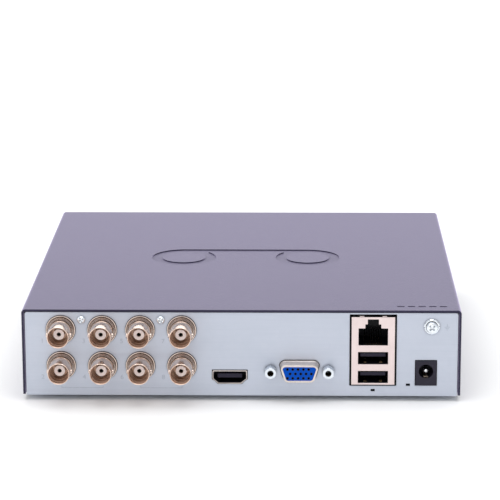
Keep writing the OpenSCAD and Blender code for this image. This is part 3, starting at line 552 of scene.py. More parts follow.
def turned_z(shape, at, profile, steps=48):
    """A closed shape turned round the +Z axis, from pairs of radius and height, in millimetres."""
    rings = []
    for radius, height in profile:
        angles = [math.tau * i / steps for i in range(steps)]
        rings.append([
            at + Vector((radius * MM * math.cos(a), radius * MM * math.sin(a), height * MM)) for a in angles
        ])
    loft(shape, rings, True, True)


def block(shape, low, high, soft=0.0, segments=2):
    """A box between two corners, with its edges rounded."""
    low, high = Vector(low), Vector(high)
    made = bmesh.ops.create_cube(shape, size=1.0)["verts"]
    bmesh.ops.scale(shape, vec=high - low, verts=made)
    bmesh.ops.translate(shape, vec=(low + high) / 2, verts=made)
    if soft:
        edges = list(dict.fromkeys(edge for vert in made for edge in vert.link_edges))
        bmesh.ops.bevel(shape, geom=edges, offset=soft, segments=segments, profile=0.5, affect="EDGES")


def strip(shape, path, across, width, thick):
    """A flat strip along a path of points; across is the direction of its width."""
    across = Vector(across).normalized()
    rings = []
    for i, point in enumerate(path):
        way = (path[min(i + 1, len(path) - 1)] - path[max(i - 1, 0)]).normalized()
        lift = across.cross(way) * thick / 2
        side = across * width / 2
        rings.append([point + side + lift, point - side + lift, point - side - lift, point + side - lift])
    loft(shape, rings, True, True)


def arc(centre_u, centre_v, radius, start, end, steps=8):
    """Points along an arc in a flat outline, angles in degrees."""
    turns = [math.radians(start + (end - start) * i / steps) for i in range(steps + 1)]
    return [(centre_u + radius * math.cos(a), centre_v + radius * math.sin(a)) for a in turns]


def rounded_outline(half_u, half_v, corner):
    """A rectangle with round corners, as a flat outline."""
    u, v = half_u - corner, half_v - corner
    return (arc(u, v, corner, 0, 90, 5) + arc(-u, v, corner, 90, 180, 5)
            + arc(-u, -v, corner, 180, 270, 5) + arc(u, -v, corner, 270, 360, 5))


def parts_of(node):
    """The box of each separate solid in a CAD node, as pairs of corners."""
    shape = bmesh.new()
    shape.from_mesh(nodes[node].data)
    bmesh.ops.remove_doubles(shape, verts=shape.verts, dist=1e-6)
    left = set(shape.verts)
    boxes = []
    while left:
        island = []
        front = [left.pop()]
        while front:
            vert = front.pop()
            island.append(vert.co.copy())
            near = {edge.other_vert(vert) for edge in vert.link_edges} & left
            left -= near
            front.extend(near)
        low = Vector([min(co[axis] for co in island) for axis in range(3)])
        high = Vector([max(co[axis] for co in island) for axis in range(3)])
        boxes.append((low, high))
    shape.free()
    return sorted(boxes, key=lambda box: tuple(box[0]))


SOFT_EDGES = {  # how far each node's edges are rounded, in millimetres
    0.08: "main_board",
    0.1: "base_tray bnc_block_screws",
    0.12: "top_cover hdmi_tongue memory_chips video_decoder_chips cover_screws board_screws "
          "drive_screws heat_sink",
    0.14: "lan_usb_shell bnc_insulators",
    0.15: "usb_tongues processor_chip",
    0.2: "network_transformer sata_socket drive_lid",
    0.22: "dc_jack_body",
    0.25: "coin_cell coin_cell_holder drive_power_socket drive_casting",
    0.3: "buzzer vga_housing",
    0.35: "rubber_feet lead_plugs",
    0.4: "power_inductors bnc_block_outer bnc_block_inner",
}


def soften(node, width):
    """Breaks the sharp edges of a CAD node, as folding, moulding or tumbling does."""
    weld = nodes[node].modifiers.new("weld", "WELD")
    weld.merge_threshold = 0.000002
    bevel = nodes[node].modifiers.new("soft_edges", "BEVEL")
    bevel.width = width
    bevel.segments = 2
    bevel.limit_method = "ANGLE"
    bevel.angle_limit = math.radians(50)
    normals = nodes[node].modifiers.new("even_normals", "WEIGHTED_NORMAL")
    normals.keep_sharp = True


# ---- coaxial sockets ----

def socket_outside(reach):
    """Half outline of a turned socket's outside, as radius and distance out from inside the panel."""
    steps = [(2.4, 0.0), (6.35, 0.0), (6.35, 1.5), (6.26, 1.68), (6.0, 1.7), (5.92, 1.6), (5.92, 0.95)]
    for radius, top in ((5.68, 2.45), (5.42, 2.95), (5.16, 3.4)):
        steps += [(radius, 0.95), (radius, top - 0.14), (radius - 0.06, top), (radius - 0.14, top)]
        steps += [(radius - 0.19, top - 0.12), (radius - 0.19, top - 0.6)]
    barrel = [
        (4.83, 2.8), (4.83, 5.0), (4.72, 5.1), (4.72, 5.5), (4.83, 5.6), (4.83, reach - 0.42),
        (4.76, reach - 0.16), (4.62, reach), (4.46, reach),
    ]
    return steps + barrel


def socket_bore(reach, floor):
    """The rest of that outline: the inside of the socket, down to its floor."""
    mouth = [(4.40, reach - 0.04), (4.05, reach - 0.6)]
    return mouth + [(4.05, floor), (3.75, floor), (3.75, 4.4), (2.4, 4.4)]


def camera_sockets():
    """The eight turned shells: ringed flange, barrel with a bright mouth, and two bayonet lugs."""
    low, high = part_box("bnc_shell_1")
    reach = high.y - low.y
    outside = socket_outside(reach / MM)
    bore = socket_bore(reach / MM, (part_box("bnc_insulators")[1].y - low.y) / MM)
    shape = bmesh.new()
    turned_y(shape, Vector((0.0, 0.0, 0.0)), outside + bore, 72, False, False, len(outside) - 1)
    lug_y = reach - 4.2 * MM
    for side in (-1, 1):
        rings = []
        for radius, out in ((1.0, 4.3), (1.0, 5.2), (0.9, 5.42), (0.66, 5.5)):
            turns = [math.tau * i / 20 for i in range(20)]
            rings.append([
                Vector((side * out * MM, lug_y + radius * MM * math.cos(a), radius * MM * math.sin(a)))
                for a in turns
            ])
        loft(shape, rings, False, True)
    first = new_piece("bnc_socket_1", shape, (NICKEL, SHADED_BORE_NICKEL))
    for number, at in sockets.items():
        piece = first
        if number > 1:
            piece = bpy.data.objects.new(f"bnc_socket_{number}", first.data)
            bpy.context.scene.collection.objects.link(piece)
        piece.location = (at.x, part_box(f"bnc_shell_{number}")[0].y, at.z)
        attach(piece, "recorder")
        stand_for(f"bnc_shell_{number}")


# ---- monitor socket ----

def d_outline(grow):
    """The D shape of the monitor socket, wider at the top, grown all round; in millimetres."""
    corner, half_w, half_h, slant = 2.2, 16.3 / 2, 7.9 / 2, 1.3
    r = corner + grow
    return (arc(half_w - corner, half_h - corner, r, 10, 90)
            + arc(-half_w + corner, half_h - corner, r, 90, 170)
            + arc(-half_w + corner + slant, -half_h + corner, r, 190, 270)
            + arc(half_w - corner - slant, -half_h + corner, r, 270, 350))


def monitor_shell():
    """The drawn D-shaped shell: a foot that flares on to the panel, and a rolled mouth."""
    low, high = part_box("vga_shell")
    shape = bmesh.new()
    foot = panel_y - low.y
    out = high.y - low.y
    rings = [
        (-0.5, 0.0), (0.5, 0.0), (0.5, foot + 0.55 * MM), (0.42, foot + 0.75 * MM),
        (0.24, foot + 0.95 * MM), (0.1, foot + 1.3 * MM), (0.0, foot + 1.9 * MM),
        (0.0, out - 0.35 * MM), (-0.08, out - 0.12 * MM), (-0.3, out), (-0.72, out - 0.02 * MM),
        (-0.88, out - 0.12 * MM), (-0.9, out - 0.27 * MM), (-0.5, out - 0.28 * MM), (-0.5, 0.0),
    ]
    loft(shape, [
        [Vector((vga_middle.x + u * MM, low.y + y, vga_middle.z + v * MM)) for u, v in d_outline(grow)]
        for grow, y in rings
    ])
    block(shape, (low.x, low.y, low.z), (vga_middle.x - 8.9 * MM, low.y + 0.7 * MM, high.z), 0.15 * MM)
    block(shape, (vga_middle.x + 8.9 * MM, low.y, low.z), (high.x, low.y + 0.7 * MM, high.z), 0.15 * MM)
    new_piece("vga_drawn_shell", shape, WARM_RIM, node="vga_shell")


def hexagon(across_corners, limit):
    """Radius of a hexagon with a corner up, rounded off at limit; angles from +X, in millimetres."""
    def radius(angle):
        turn = (angle - math.pi / 6) % (math.pi / 3) - math.pi / 6
        flat = across_corners / 2 * math.cos(math.pi / 6) / math.cos(turn)
        return min(flat, limit) * MM
    return radius


def jackscrew_posts():
    """Two hexagonal posts with chamfered ends and a threaded hole."""
    reach = (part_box("vga_jackscrews")[1].y - panel_y) / MM
    thread = [(1.02 if step % 2 else 1.2, reach - 0.3 - 0.22 * step) for step in range(18)]
    shape = bmesh.new()
    for side in (-1, 1):
        at = Vector((vga_middle.x + side * jackscrew_x, panel_y, vga_middle.z))
        post = [(2.45, 0.0), (2.75, 0.3), (2.75, reach - 0.42), (2.56, reach - 0.14), (2.36, reach)]
        profile = [(hexagon(HEXAGON, limit), out) for limit, out in post] + [(1.36, reach)]
        turned_y(shape, at, profile + thread + [(0.9, 0.6)], 72, False, True, len(profile))
        turned_y(shape, at, [(1.45, -6.0), (1.45, 0.0)], 24, True, False)
    new_piece("vga_posts", shape, (BRIGHT_STEEL, DEEP_SHADED_BRASS), node="vga_jackscrews")


def monitor_contacts():
    """A dark funnel, closed at its foot, in each hole of the blue insulator: painted shade where the sprung
    sleeve sits.
    """
    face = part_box("vga_insulator")[1].y
    shape = bmesh.new()
    for row in (-1, 0, 1):
        for column in range(-2, 3):
            x = (column + (-0.25 if row == 0 else 0.25)) * CONTACT_STEP * MM
            at = vga_middle + Vector((x, 0.0, row * ROW_STEP * MM))
            at.y = face
            funnel = [(0.62, 0.0), (0.6, 0.02), (0.44, 0.025), (0.40, -0.2), (0.38, -2.6)]
            turned_y(shape, at, funnel, 16, False, True)
    new_piece("vga_hole_shades", shape, SHADED_INSERT_PLASTIC)


# ---- network and USB sockets ----

def stack_trim():
    """Bright tabs above the tin shell, and its sprung earthing fingers at the sides."""
    low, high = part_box("lan_usb_shell")
    centre = (low.x + high.x) / 2
    shape = bmesh.new()
    for side in (-1, 1):
        x = centre + side * 4.9 * MM
        block(shape, (x - 1.0 * MM, high.y - 1.6 * MM, high.z - 0.1 * MM),
              (x + 1.0 * MM, high.y - 0.1 * MM, high.z + 0.42 * MM), 0.12 * MM)
        edge = centre + side * (high.x - low.x) / 2
        for z in (case_z + 28.0 * MM, case_z + 14.0 * MM):
            bulge = [(-3.0, 0.02), (-1.8, 0.12), (-0.9, 0.34), (-0.2, 0.34), (0.5, 0.10)]
            path = [
                Vector((edge + side * out * MM, high.y - 1.0 * MM + along * MM, z)) for along, out in bulge
            ]
            strip(shape, path, (0, 0, 1), 2.4 * MM, 0.14 * MM)
    new_piece("stack_fingers", shape, TINPLATE)


def network_contacts():
    """Eight gold wires that slope up from the floor of the network opening."""
    low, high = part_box("lan_usb_shell")
    centre = (low.x + high.x) / 2
    floor = case_z + 22.9 * MM
    shape = bmesh.new()
    for i in range(8):
        x = centre + (i - 3.5) * 1.02 * MM
        bend = [(-1.2, 0.25), (-3.0, 0.35), (-5.0, 1.0), (-8.5, 3.0), (-11.0, 4.0), (-13.9, 4.2)]
        path = [Vector((x, high.y + along * MM, floor + up * MM)) for along, up in bend]
        strip(shape, path, (1, 0, 0), 0.36 * MM, 0.2 * MM)
    new_piece("network_contacts", shape, SHADED_GOLD)


def usb_contacts():
    """Four flat contacts under each tongue, and two sprung bumps below them."""
    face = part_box("lan_usb_shell")[1].y
    shape = bmesh.new()
    for low, high in parts_of("usb_tongues"):
        centre = (low.x + high.x) / 2
        for x in (-3.5, -1.0, 1.0, 3.5):
            block(shape, (centre + (x - 0.5) * MM, low.y + 0.2 * MM, low.z - 0.08 * MM),
                  (centre + (x + 0.5) * MM, high.y - 0.9 * MM, low.z + 0.05 * MM), 0.03 * MM)
        for side in (-1, 1):
            x = centre + side * 3.4 * MM
            bend = [(-9.0, -2.95), (-5.0, -2.75), (-2.6, -1.95), (-1.6, -2.1), (-1.0, -2.6)]
            path = [Vector((x, face + along * MM, low.z + up * MM)) for along, up in bend]
            strip(shape, path, (1, 0, 0), 1.2 * MM, 0.16 * MM)
    new_piece("usb_contacts", shape, SHADED_CONTACT_BRASS)


def video_contacts():
    """Nineteen thin contacts on the tongue of the digital video socket."""
    low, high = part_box("hdmi_tongue")
    shape = bmesh.new()
    for i in range(19):
        x = (low.x + high.x) / 2 + (i - 9) * 0.5 * MM
        z = high.z if i % 2 else low.z
        block(shape, (x - 0.12 * MM, low.y + 1.0 * MM, z - 0.05 * MM),
              (x + 0.12 * MM, high.y - 0.3 * MM, z + 0.05 * MM), 0.02 * MM)
    new_piece("hdmi_contacts", shape, SHADED_GOLD)


def video_outline(grow):
    """The outline of the digital video socket, narrower at the bottom; in millimetres."""
    half_w, half_h = VIDEO_HALF_W + grow, VIDEO_HALF_H + grow
    shoulder, foot = -0.9 - grow * 0.6, 5.1 + grow * 0.6
    right = [(foot, -half_h), (foot + 1.1, shoulder - 0.9), (half_w, shoulder)]
    return (right + arc(half_w - 0.5, half_h - 0.5, 0.5, 0, 90, 4)
            + arc(-half_w + 0.5, half_h - 0.5, 0.5, 90, 180, 4) + [(-u, v) for u, v in reversed(right)])


def video_shell():
    """The folded shell of the digital video socket, with a rolled lip, and a black lining over its inner
    walls that is partly its real black back and partly painted shade.
    """
    low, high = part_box("hdmi_shell")
    centre = Vector(((low.x + high.x) / 2, 0.0, high.z - VIDEO_HALF_H * MM))

    def ring(grow, y):
        return [centre + Vector((u * MM, y, v * MM)) for u, v in video_outline(grow)]

    lip = [(0.0, low.y), (0.0, high.y - 0.2 * MM), (-0.1, high.y - 0.03 * MM), (-0.2, high.y),
           (-0.32, high.y - 0.05 * MM), (-0.38, high.y - 0.25 * MM), (-0.4, low.y), (0.0, low.y)]
    shape = bmesh.new()
    loft(shape, [ring(grow, y) for grow, y in lip])
    for side in (-1, 1):
        x = centre.x + side * 7.25 * MM
        block(shape, (x - 0.25 * MM, low.y + 3.5 * MM, low.z), (x + 0.25 * MM, low.y + 6.5 * MM, centre.z))
    new_piece("hdmi_folded_shell", shape, WARM_RIM, node="hdmi_shell")
    shape = bmesh.new()
    # Painted shade: a near-black sleeve inside the shell, from just behind the lip.
    lining = [(-0.42, high.y - 0.45 * MM), (-0.48, high.y - 0.5 * MM), (-0.48, high.y - 8.0 * MM)]
    loft(shape, [ring(grow, y) for grow, y in lining], False, True)
    new_piece("hdmi_shade_lining", shape, SHADED_INSERT_PLASTIC)


def socket_gaskets():
    """Black blocks of painted shade in the gaps round three sockets and behind the panel's two tiny slots.

    At the stack it laps over the rim.
    """
    shape = bmesh.new()
    back = panel_y - 1.5 * MM
    for node, out, over in (("lan_usb_shell", 0.34, 0.34), ("dc_jack_body", -0.1, 0.0)):
        low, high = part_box(node)
        front = panel_y + out * MM
        edge = over * MM
        left, right = low.x - 0.28 * MM, high.x + 0.28 * MM
        top, bottom = high.z + 0.04 * MM, low.z - 0.28 * MM
        for a, b, c, d in ((left, low.x + edge, bottom, top), (high.x - edge, right, bottom, top),
                           (low.x + edge, high.x - edge, high.z, top),
                           (low.x + edge, high.x - edge, bottom, low.z + edge / 2)):
            block(shape, (a, back, c), (b, front, d))
    stack_x = middle("lan_usb_shell").x
    for x, z in ((stack_x, case_z + 2.6 * MM), (-72.3 * MM, case_z + 5.1 * MM)):
        block(shape, (x - 1.1 * MM, back, z - 0.7 * MM), (x + 1.1 * MM, panel_y - 0.82 * MM, z + 0.7 * MM))
    low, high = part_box("hdmi_shell")
    centre = Vector(((low.x + high.x) / 2, panel_y, high.z - VIDEO_HALF_H * MM))
    rings = [(0.01, -1.5), (0.01, -0.08), (0.29, -0.08), (0.29, -1.5)]
    loft(shape, [
        [centre + Vector((u, y, v)) * MM for u, v in video_outline(grow)] for grow, y in rings
    ])
    new_piece("socket_gaskets", shape, GAP_SHADE_BLACK)


def power_pin():
    """The jack's centre pin, with a rounded tip and a small hollow in its end."""
    low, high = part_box("dc_jack_pin")
    at = centred(low, high, low.y)
    reach = (high.y - low.y) / MM
    profile = [(1.0, 0.0), (1.0, reach - 0.9), (0.95, reach - 0.55), (0.78, reach - 0.25),
               (0.5, reach - 0.06), (0.32, reach), (0.3, reach - 0.4)]
    shape = bmesh.new()
    turned_y(shape, at, profile, 40, True, True)
    new_piece("dc_jack_round_pin", shape, PIN_STEEL, node="dc_jack_pin")


# ---- small screws ----

def crossed(reach, waist, turned):
    """Radius of a ring that dips between the four arms of a cross recess; in millimetres."""
    def radius(angle):
        arm = abs((angle + turned + math.pi / 4) % (math.pi / 2) - math.pi / 4)
        return (reach if arm < 0.5 / reach else waist) * MM
    return radius


def cross_head(shape, at, wide, under, out, turned, shank, inside):
    """A domed screw head with a cross recess, on its shank; lengths in millimetres from at."""
    arm = wide * 0.62
    turned_y(shape, at, [
        (shank * 0.75, -inside), (shank, 0.4 - inside), (shank, under), (wide - 0.12, under),
        (wide, under + 0.15), (wide, out - 0.8), (wide - 0.12, out - 0.36), (wide - 0.38, out - 0.12),
        (arm + 0.14, out), (crossed(arm, wide * 0.33, turned), out - 0.02),
        (crossed(arm * 0.84, wide * 0.28, turned), out - 0.35),
        (crossed(arm * 0.55, wide * 0.20, turned), out - 0.95), (wide * 0.1, out - 1.1),
    ], 96, True, True)


def block_screws():
    """The small bright screws that hold the socket blocks to the panel."""
    shape = bmesh.new()
    for low, high in parts_of("bnc_block_screws"):
        at = centred(low, high, panel_y)
        inside = (panel_y - low.y) / MM
        cross_head(shape, at, (high.x - low.x) / 2 / MM, 0.0, (high.y - panel_y) / MM, 0.35, 1.2, inside)
    new_piece("block_screw_heads", shape, SCREW_STEEL, "recorder", 28.0, node="bnc_block_screws")


# ---- earth terminal ----

def earth_washer():
    """A washer with slanted teeth round its rim, which bite under a ring tag."""
    low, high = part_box("ground_washer")
    at = centred(low, high, low.y)
    thick = (high.y - low.y) / MM

    def toothed(angle):
        return (3.5 if (angle * 10 / math.pi) % 2 < 1.55 else 3.22) * MM

    shape = bmesh.new()
    turned_y(shape, at, [
        (1.55, 0.12), (2.3, 0.0), (toothed, 0.0), (toothed, thick * 0.55), (3.1, thick), (2.75, thick),
        (2.68, thick * 0.6), (2.55, thick * 0.6), (2.5, thick), (1.75, thick),
        (1.55, thick - 0.12), (1.55, 0.12),
    ], 160)
    new_piece("earth_washer", shape, SCREW_STEEL, "ground_washer", 25.0, node="ground_washer")


def earth_screw():
    """The earth terminal's screw, its cross turned by an eighth."""
    low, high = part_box("ground_screw")
    at = centred(low, high, panel_y)
    wide = (high.x - low.x) / 2 / MM
    shape = bmesh.new()
    cross_head(shape, at, wide, 0.82, (high.y - panel_y) / MM, math.pi / 4, 1.4, (panel_y - low.y) / MM)
    new_piece("earth_screw", shape, SCREW_STEEL, "ground_screw", 28.0, node="ground_screw")


# ---- marks on the rear panel ----

def channel_numbers():
    """A small numeral beside each camera socket."""
    facing = Matrix(((-1, 0, 0), (0, 0, 1), (0, 1, 0))).transposed().to_4x4()
    for number, at in sockets.items():
        letters = bpy.data.curves.new(f"channel_{number}", "FONT")
        letters.body = str(number)
        letters.size = 2.9 * MM
        letters.extrude = 0.02 * MM
        letters.align_x = "CENTER"
        letters.align_y = "CENTER"
        letters.materials.append(PANEL_INK)
        piece = bpy.data.objects.new(f"channel_{number}", letters)
        place = Vector((at.x + 8.1 * MM, panel_y + 0.01 * MM, at.z - 5.2 * MM))
        piece.matrix_world = Matrix.Translation(place) @ facing
        bpy.context.scene.collection.objects.link(piece)
        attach(piece, "recorder")


def panel_strokes():
    """A thin line under each block of sockets, and the earth symbol by the terminal."""
    shape = bmesh.new()

    def stroke(start, end, width):
        path = [Vector((x, panel_y + 0.01 * MM, z)) for x, z in (start, end)]
        way = (path[1] - path[0]).normalized()
        strip(shape, path, Vector((0.0, 1.0, 0.0)).cross(way), width, 0.04 * MM)

    line_z = case_z + 3.3 * MM
    for column in (2, 6):
        outer, inner = sockets[column].x, sockets[column + 2].x
        stroke((outer, line_z), (inner, line_z), 0.22 * MM)
        for x in (outer, inner):
            stroke((x, line_z), (x, line_z + 0.8 * MM), 0.22 * MM)
    terminal = middle("ground_washer")
    x, z = terminal.x - 6.6 * MM, terminal.z - 0.2 * MM
    for half, drop in ((1.1, 0.0), (0.7, -0.6), (0.3, -1.2)):
        stroke((x - half * MM, z + drop * MM), (x + half * MM, z + drop * MM), 0.24 * MM)
    stroke((x, z), (x, z + 1.3 * MM), 0.24 * MM)
    new_piece("panel_strokes", shape, PANEL_INK)


# ---- main board ----

def chip_legs():
    """Bent legs down two sides of each memory chip and all four sides of the video decoders."""
    shape = bmesh.new()
    ends = ((1, 0), (-1, 0))
    for node, sides in (("memory_chips", ends), ("video_decoder_chips", ends + ((0, 1), (0, -1)))):
        for low, high in parts_of(node):
            centre, half = (low + high) / 2, (high - low) / 2
            for u, v in sides:
                run = half.y if u else half.x
                reach = half.x if u else half.y
                count = int(run * 2 / (0.8 * MM)) - 1
                for i in range(count):
                    along = (i - (count - 1) / 2) * 0.8 * MM
                    out = Vector((u, v, 0.0))
                    foot = Vector((centre.x, centre.y, board_top)) + Vector((abs(v), abs(u), 0.0)) * along
                    path = [
                        foot + out * (reach - 0.1 * MM) + Vector((0, 0, 0.6 * MM)),
                        foot + out * (reach + 0.35 * MM) + Vector((0, 0, 0.58 * MM)),
                        foot + out * (reach + 0.6 * MM) + Vector((0, 0, 0.12 * MM)),
                        foot + out * (reach + 1.05 * MM) + Vector((0, 0, 0.08 * MM)),
                    ]
                    strip(shape, path, (abs(v), abs(u), 0.0), 0.34 * MM, 0.12 * MM)
    new_piece("chip_legs", shape, SOLDER)


def board_keep_outs():
    """Boxes on the board that small parts stay clear of."""
    taken = ["heat_sink", "memory_chips", "video_decoder_chips", "buzzer", "coin_cell_holder", "capacitors",
             "power_inductors", "network_transformer", "sata_socket", "drive_power_socket",
             "bnc_block_outer", "bnc_block_inner", "lan_usb_shell", "dc_jack_body", "vga_housing",
             "hdmi_shell", "board_screws"]
    return [box for node in taken for box in parts_of(node)]


def small_chip_parts():
    """Resistors and capacitors, the size of grains of rice, in short rows over the free board."""
    low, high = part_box("main_board")
    taken = board_keep_outs()
    bodies = bmesh.new()
    ends = bmesh.new()
    rows = 0
    while rows < 46:
        across = rng.random() < 0.5
        count = rng.choice((1, 2, 3, 4, 5))
        x0 = rng.uniform(low.x + 4 * MM, high.x - 4 * MM)
        y0 = rng.uniform(low.y + 3 * MM, high.y - 18 * MM)
        step = Vector((1.5 * MM, 0, 0)) if across else Vector((0, 1.5 * MM, 0))
        half = Vector((0.4, 0.8, 0)) * MM if across else Vector((0.8, 0.4, 0)) * MM
        places = [Vector((x0, y0, board_top)) + step * i for i in range(count)]
        clear = all(
            place.x + 2 * MM < box[0].x or place.x - 2 * MM > box[1].x
            or place.y + 2 * MM < box[0].y or place.y - 2 * MM > box[1].y
            for place in places for box in taken
        )
        if not clear:
            continue
        rows += 1
        taken.append((places[0] - half * 2, places[-1] + half * 2))
        long_way = Vector((0, 1, 0)) if across else Vector((1, 0, 0))
        for place in places:
            tall = Vector((0, 0, 0.45 * MM))
            block(bodies, place - half * 0.98, place + half * 0.98 + tall, 0.05 * MM, 1)
            for end in (-1, 1):
                tip = place + long_way * end * 0.68 * MM
                cap = Vector((0.43, 0.16, 0)) * MM if across else Vector((0.16, 0.43, 0)) * MM
                block(ends, tip - cap, tip + cap + Vector((0, 0, 0.48 * MM)), 0.05 * MM, 1)
    new_piece("small_part_bodies", bodies, FERRITE)
    new_piece("small_part_ends", ends, SOLDER)


def board_tracks():
    """Bundles of copper tracks under the lacquer, from the processor to what it serves."""
    shape = bmesh.new()
    hub = middle("processor_chip")
    targets = [
        (middle("bnc_block_inner"), 8), (middle("bnc_block_outer"), 8), (middle("hdmi_shell"), 8),
        (middle("vga_housing"), 6), (middle("lan_usb_shell"), 8), (middle("sata_socket"), 4),
        (middle("memory_chips"), 12), (middle("coin_cell_holder"), 3), (middle("buzzer"), 2),
    ]
    z = board_top + 0.012 * MM
    for goal, count in targets:
        gap = goal - hub
        lane = Vector((0.0, 0.7 * MM, 0.0)) if abs(gap.x) > abs(gap.y) else Vector((0.7 * MM, 0.0, 0.0))
        lead = Vector((gap.x, 0, 0)) if abs(gap.x) > abs(gap.y) else Vector((0, gap.y, 0))
        slant = Vector((gap.x, gap.y, 0)) - lead
        turn = lead.normalized() * slant.length
        for i in range(count):
            shift = lane * (i - (count - 1) / 2)
            start = Vector((hub.x, hub.y, z)) + shift
            path = [start, start + (lead - turn) * 0.45]
            path.append(path[-1] + turn + slant)
            path.append(start + lead + slant)
            strip_flat(shape, path, 0.26 * MM, 0.03 * MM)
    new_piece("board_tracks", shape, TRACK_LACQUER)


def strip_flat(shape, path, width, thick):
    """A flat strip that lies on the board along a bent path."""
    for start, end in zip(path, path[1:]):
        way = (end - start).normalized()
        strip(shape, [start, end], Vector((-way.y, way.x, 0.0)), width, thick)


def can_tops():
    """The board's three electrolytic cans: rubber foot, grooved sleeve and scored metal top."""
    shape = bmesh.new()
    tops = bmesh.new()
    for low, high in parts_of("capacitors"):
        at = Vector(((low.x + high.x) / 2, (low.y + high.y) / 2, low.z))
        tall = (high.z - low.z) / MM
        turned_z(shape, at, [
            (3.6, 0.0), (3.95, 0.3), (4.0, 0.8), (4.0, 1.7), (3.72, 2.0), (3.72, 2.3), (4.0, 2.6),
            (4.0, tall - 0.5), (3.85, tall - 0.12), (3.4, tall - 0.05),
        ])
        turned_z(tops, at, [(3.45, tall - 0.4), (3.45, tall - 0.06), (3.3, tall)])
        for turn in (0.0, math.pi / 3, 2 * math.pi / 3):
            way = Vector((math.cos(turn), math.sin(turn), 0.0))
            up = Vector((0, 0, tall * MM))
            strip(tops, [at + up - way * 2.6 * MM, at + up + way * 2.6 * MM],
                  Vector((-way.y, way.x, 0.0)), 0.3 * MM, 0.02 * MM)
    new_piece("can_sleeves", shape, SLEEVE, node="capacitors")
    new_piece("can_tops", tops, CAN_METAL)


def coin_cell_clip():
    """The sprung metal strap over the coin cell."""
    low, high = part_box("coin_cell")
    middle_x, middle_y = (low.x + high.x) / 2, (low.y + high.y) / 2
    shape = bmesh.new()
    bend = [(-12.6, -4.4), (-12.2, -1.2), (-11.0, 0.5), (-7.0, 0.55), (-2.0, 0.2), (1.5, 0.25), (3.5, 0.8)]
    path = [Vector((middle_x + along * MM, middle_y, high.z + up * MM)) for along, up in bend]
    strip(shape, path, (0, 1, 0), 5.0 * MM, 0.25 * MM)
    new_piece("coin_cell_clip", shape, SOLDER)


# ---- disk drive ----

def two_circle_outline(first, r1, second, r2, steps=20):
    """The band that runs round two circles, as points in X and Y."""
    way = Vector((second[0] - first[0], second[1] - first[1]))
    lean = math.acos((r1 - r2) / way.length)
    facing = math.atan2(way.y, way.x)
    points = []
    for i in range(steps * 2 + 1):
        a = facing + lean + (math.tau - 2 * lean) * i / (steps * 2)
        points.append((first[0] + r1 * math.cos(a), first[1] + r1 * math.sin(a)))
    for i in range(steps + 1):
        a = facing - lean + 2 * lean * i / steps
        points.append((second[0] + r2 * math.cos(a), second[1] + r2 * math.sin(a)))
    return points


def lid_pressing():
    """The raised step pressed into the drive's lid over its platters and its arm."""
    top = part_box("drive_lid")[1].z
    hub = middle("drive_spindle_hub")
    shape = bmesh.new()
    rings = []
    for inset, up in ((0.0, -0.1), (0.0, 0.05), (0.9, 0.45), (1.5, 0.5)):
        line = two_circle_outline((hub.x, hub.y), (45.5 - inset) * MM, ARM_PIVOT, (16.5 - inset) * MM)
        rings.append([Vector((x, y, top + up * MM)) for x, y in line])
    loft(shape, rings, True, True)
    for centre, radius in (((hub.x, hub.y), 9.0), (ARM_PIVOT, 5.0)):
        profile = [(radius, 0.4), (radius, 0.56), (radius - 0.5, 0.62), (0.5, 0.62)]
        turned_z(shape, Vector((centre[0], centre[1], top)), profile)
    new_piece("lid_pressing", shape, LID_STEEL)


def blank_label():
    """A plain paper label with one coloured band and no print."""
    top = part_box("drive_lid")[1].z + 0.5 * MM
    hub = middle("drive_spindle_hub")
    for name, half_u, half_v, shift, up, finish in (
        ("drive_label", 24.0, 15.0, 0.0, 0.0, LABEL_PAPER),
        ("label_band", 24.0, 3.0, -12.0, 0.06, LABEL_BAND),
    ):
        shape = bmesh.new()
        outline = rounded_outline(half_u * MM, half_v * MM, 1.2 * MM)
        centre = Vector((hub.x, hub.y + (24.0 + shift) * MM, 0.0))
        rings = [
            [centre + Vector((u, v, top + (up + rise) * MM)) for u, v in outline] for rise in (0.02, 0.1)
        ]
        loft(shape, rings, True, True)
        new_piece(name, shape, finish)


def coil_winding():
    """The copper winding in the tail of the head arm."""
    tail = [(-5.5, -4.2), (-5.5, 4.2), (-12.6, 7.2), (-15.2, 5.2), (-15.2, -5.2), (-12.6, -7.2)]
    turn = Matrix.Rotation(ARM_PARKED, 3, "Z")
    at = Vector((*ARM_PIVOT, 0.0))
    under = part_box("drive_casting")[0].z + 13.9 * MM
    shape = bmesh.new()
    rings = []
    for scale, up in ((0.94, 0.0), (1.0, 0.0), (1.0, 3.2), (0.94, 3.2)):
        rings.append([
            at + turn @ Vector(((-10.5 + (u + 10.5) * scale) * MM, v * scale * MM, 0.0))
            + Vector((0, 0, under + up * MM)) for u, v in tail
        ])
    loft(shape, rings, True, True)
    new_piece("coil_winding", shape, COPPER, "head_arm")


# ---- leads ----

LEAD_ROUTES = {
    "sata_lead": [
        (77, -65.2, 8.2), (80.5, -65.2, 8.2), (83.6, -64.6, 8.5), (86, -62.3, 9), (87, -59, 10),
        (87.3, -53, 12), (87.3, -45, 15), (87.2, -37, 18), (87, -29, 21), (85.6, -21, 24),
        (82, -13, 26.4), (77, -6, 27.6), (71.5, -0.8, 27.6), (66.6, 2.7, 26.4), (63.4, 4.5, 24),
        (62.2, 5, 21), (62, 5, 18),
    ],
    "power_lead": [
        (77, -83.2, 8.2), (80.2, -83.2, 8.2), (82, -82, 8.4), (83, -79.6, 8.8), (83, -75, 10.4),
        (82.2, -70, 13.2), (81, -65.2, 15.8), (79.8, -58, 18.4), (78.4, -50, 21.2), (76.6, -42, 24),
        (73.6, -33, 26.8), (70, -24, 29.8), (65, -17, 31.8), (59, -10, 32.4), (53.2, -3.2, 31.6),
        (48.2, 1.8, 28.8), (45, 4.4, 25), (44.2, 5, 21.4), (44, 5, 18),
    ],
}


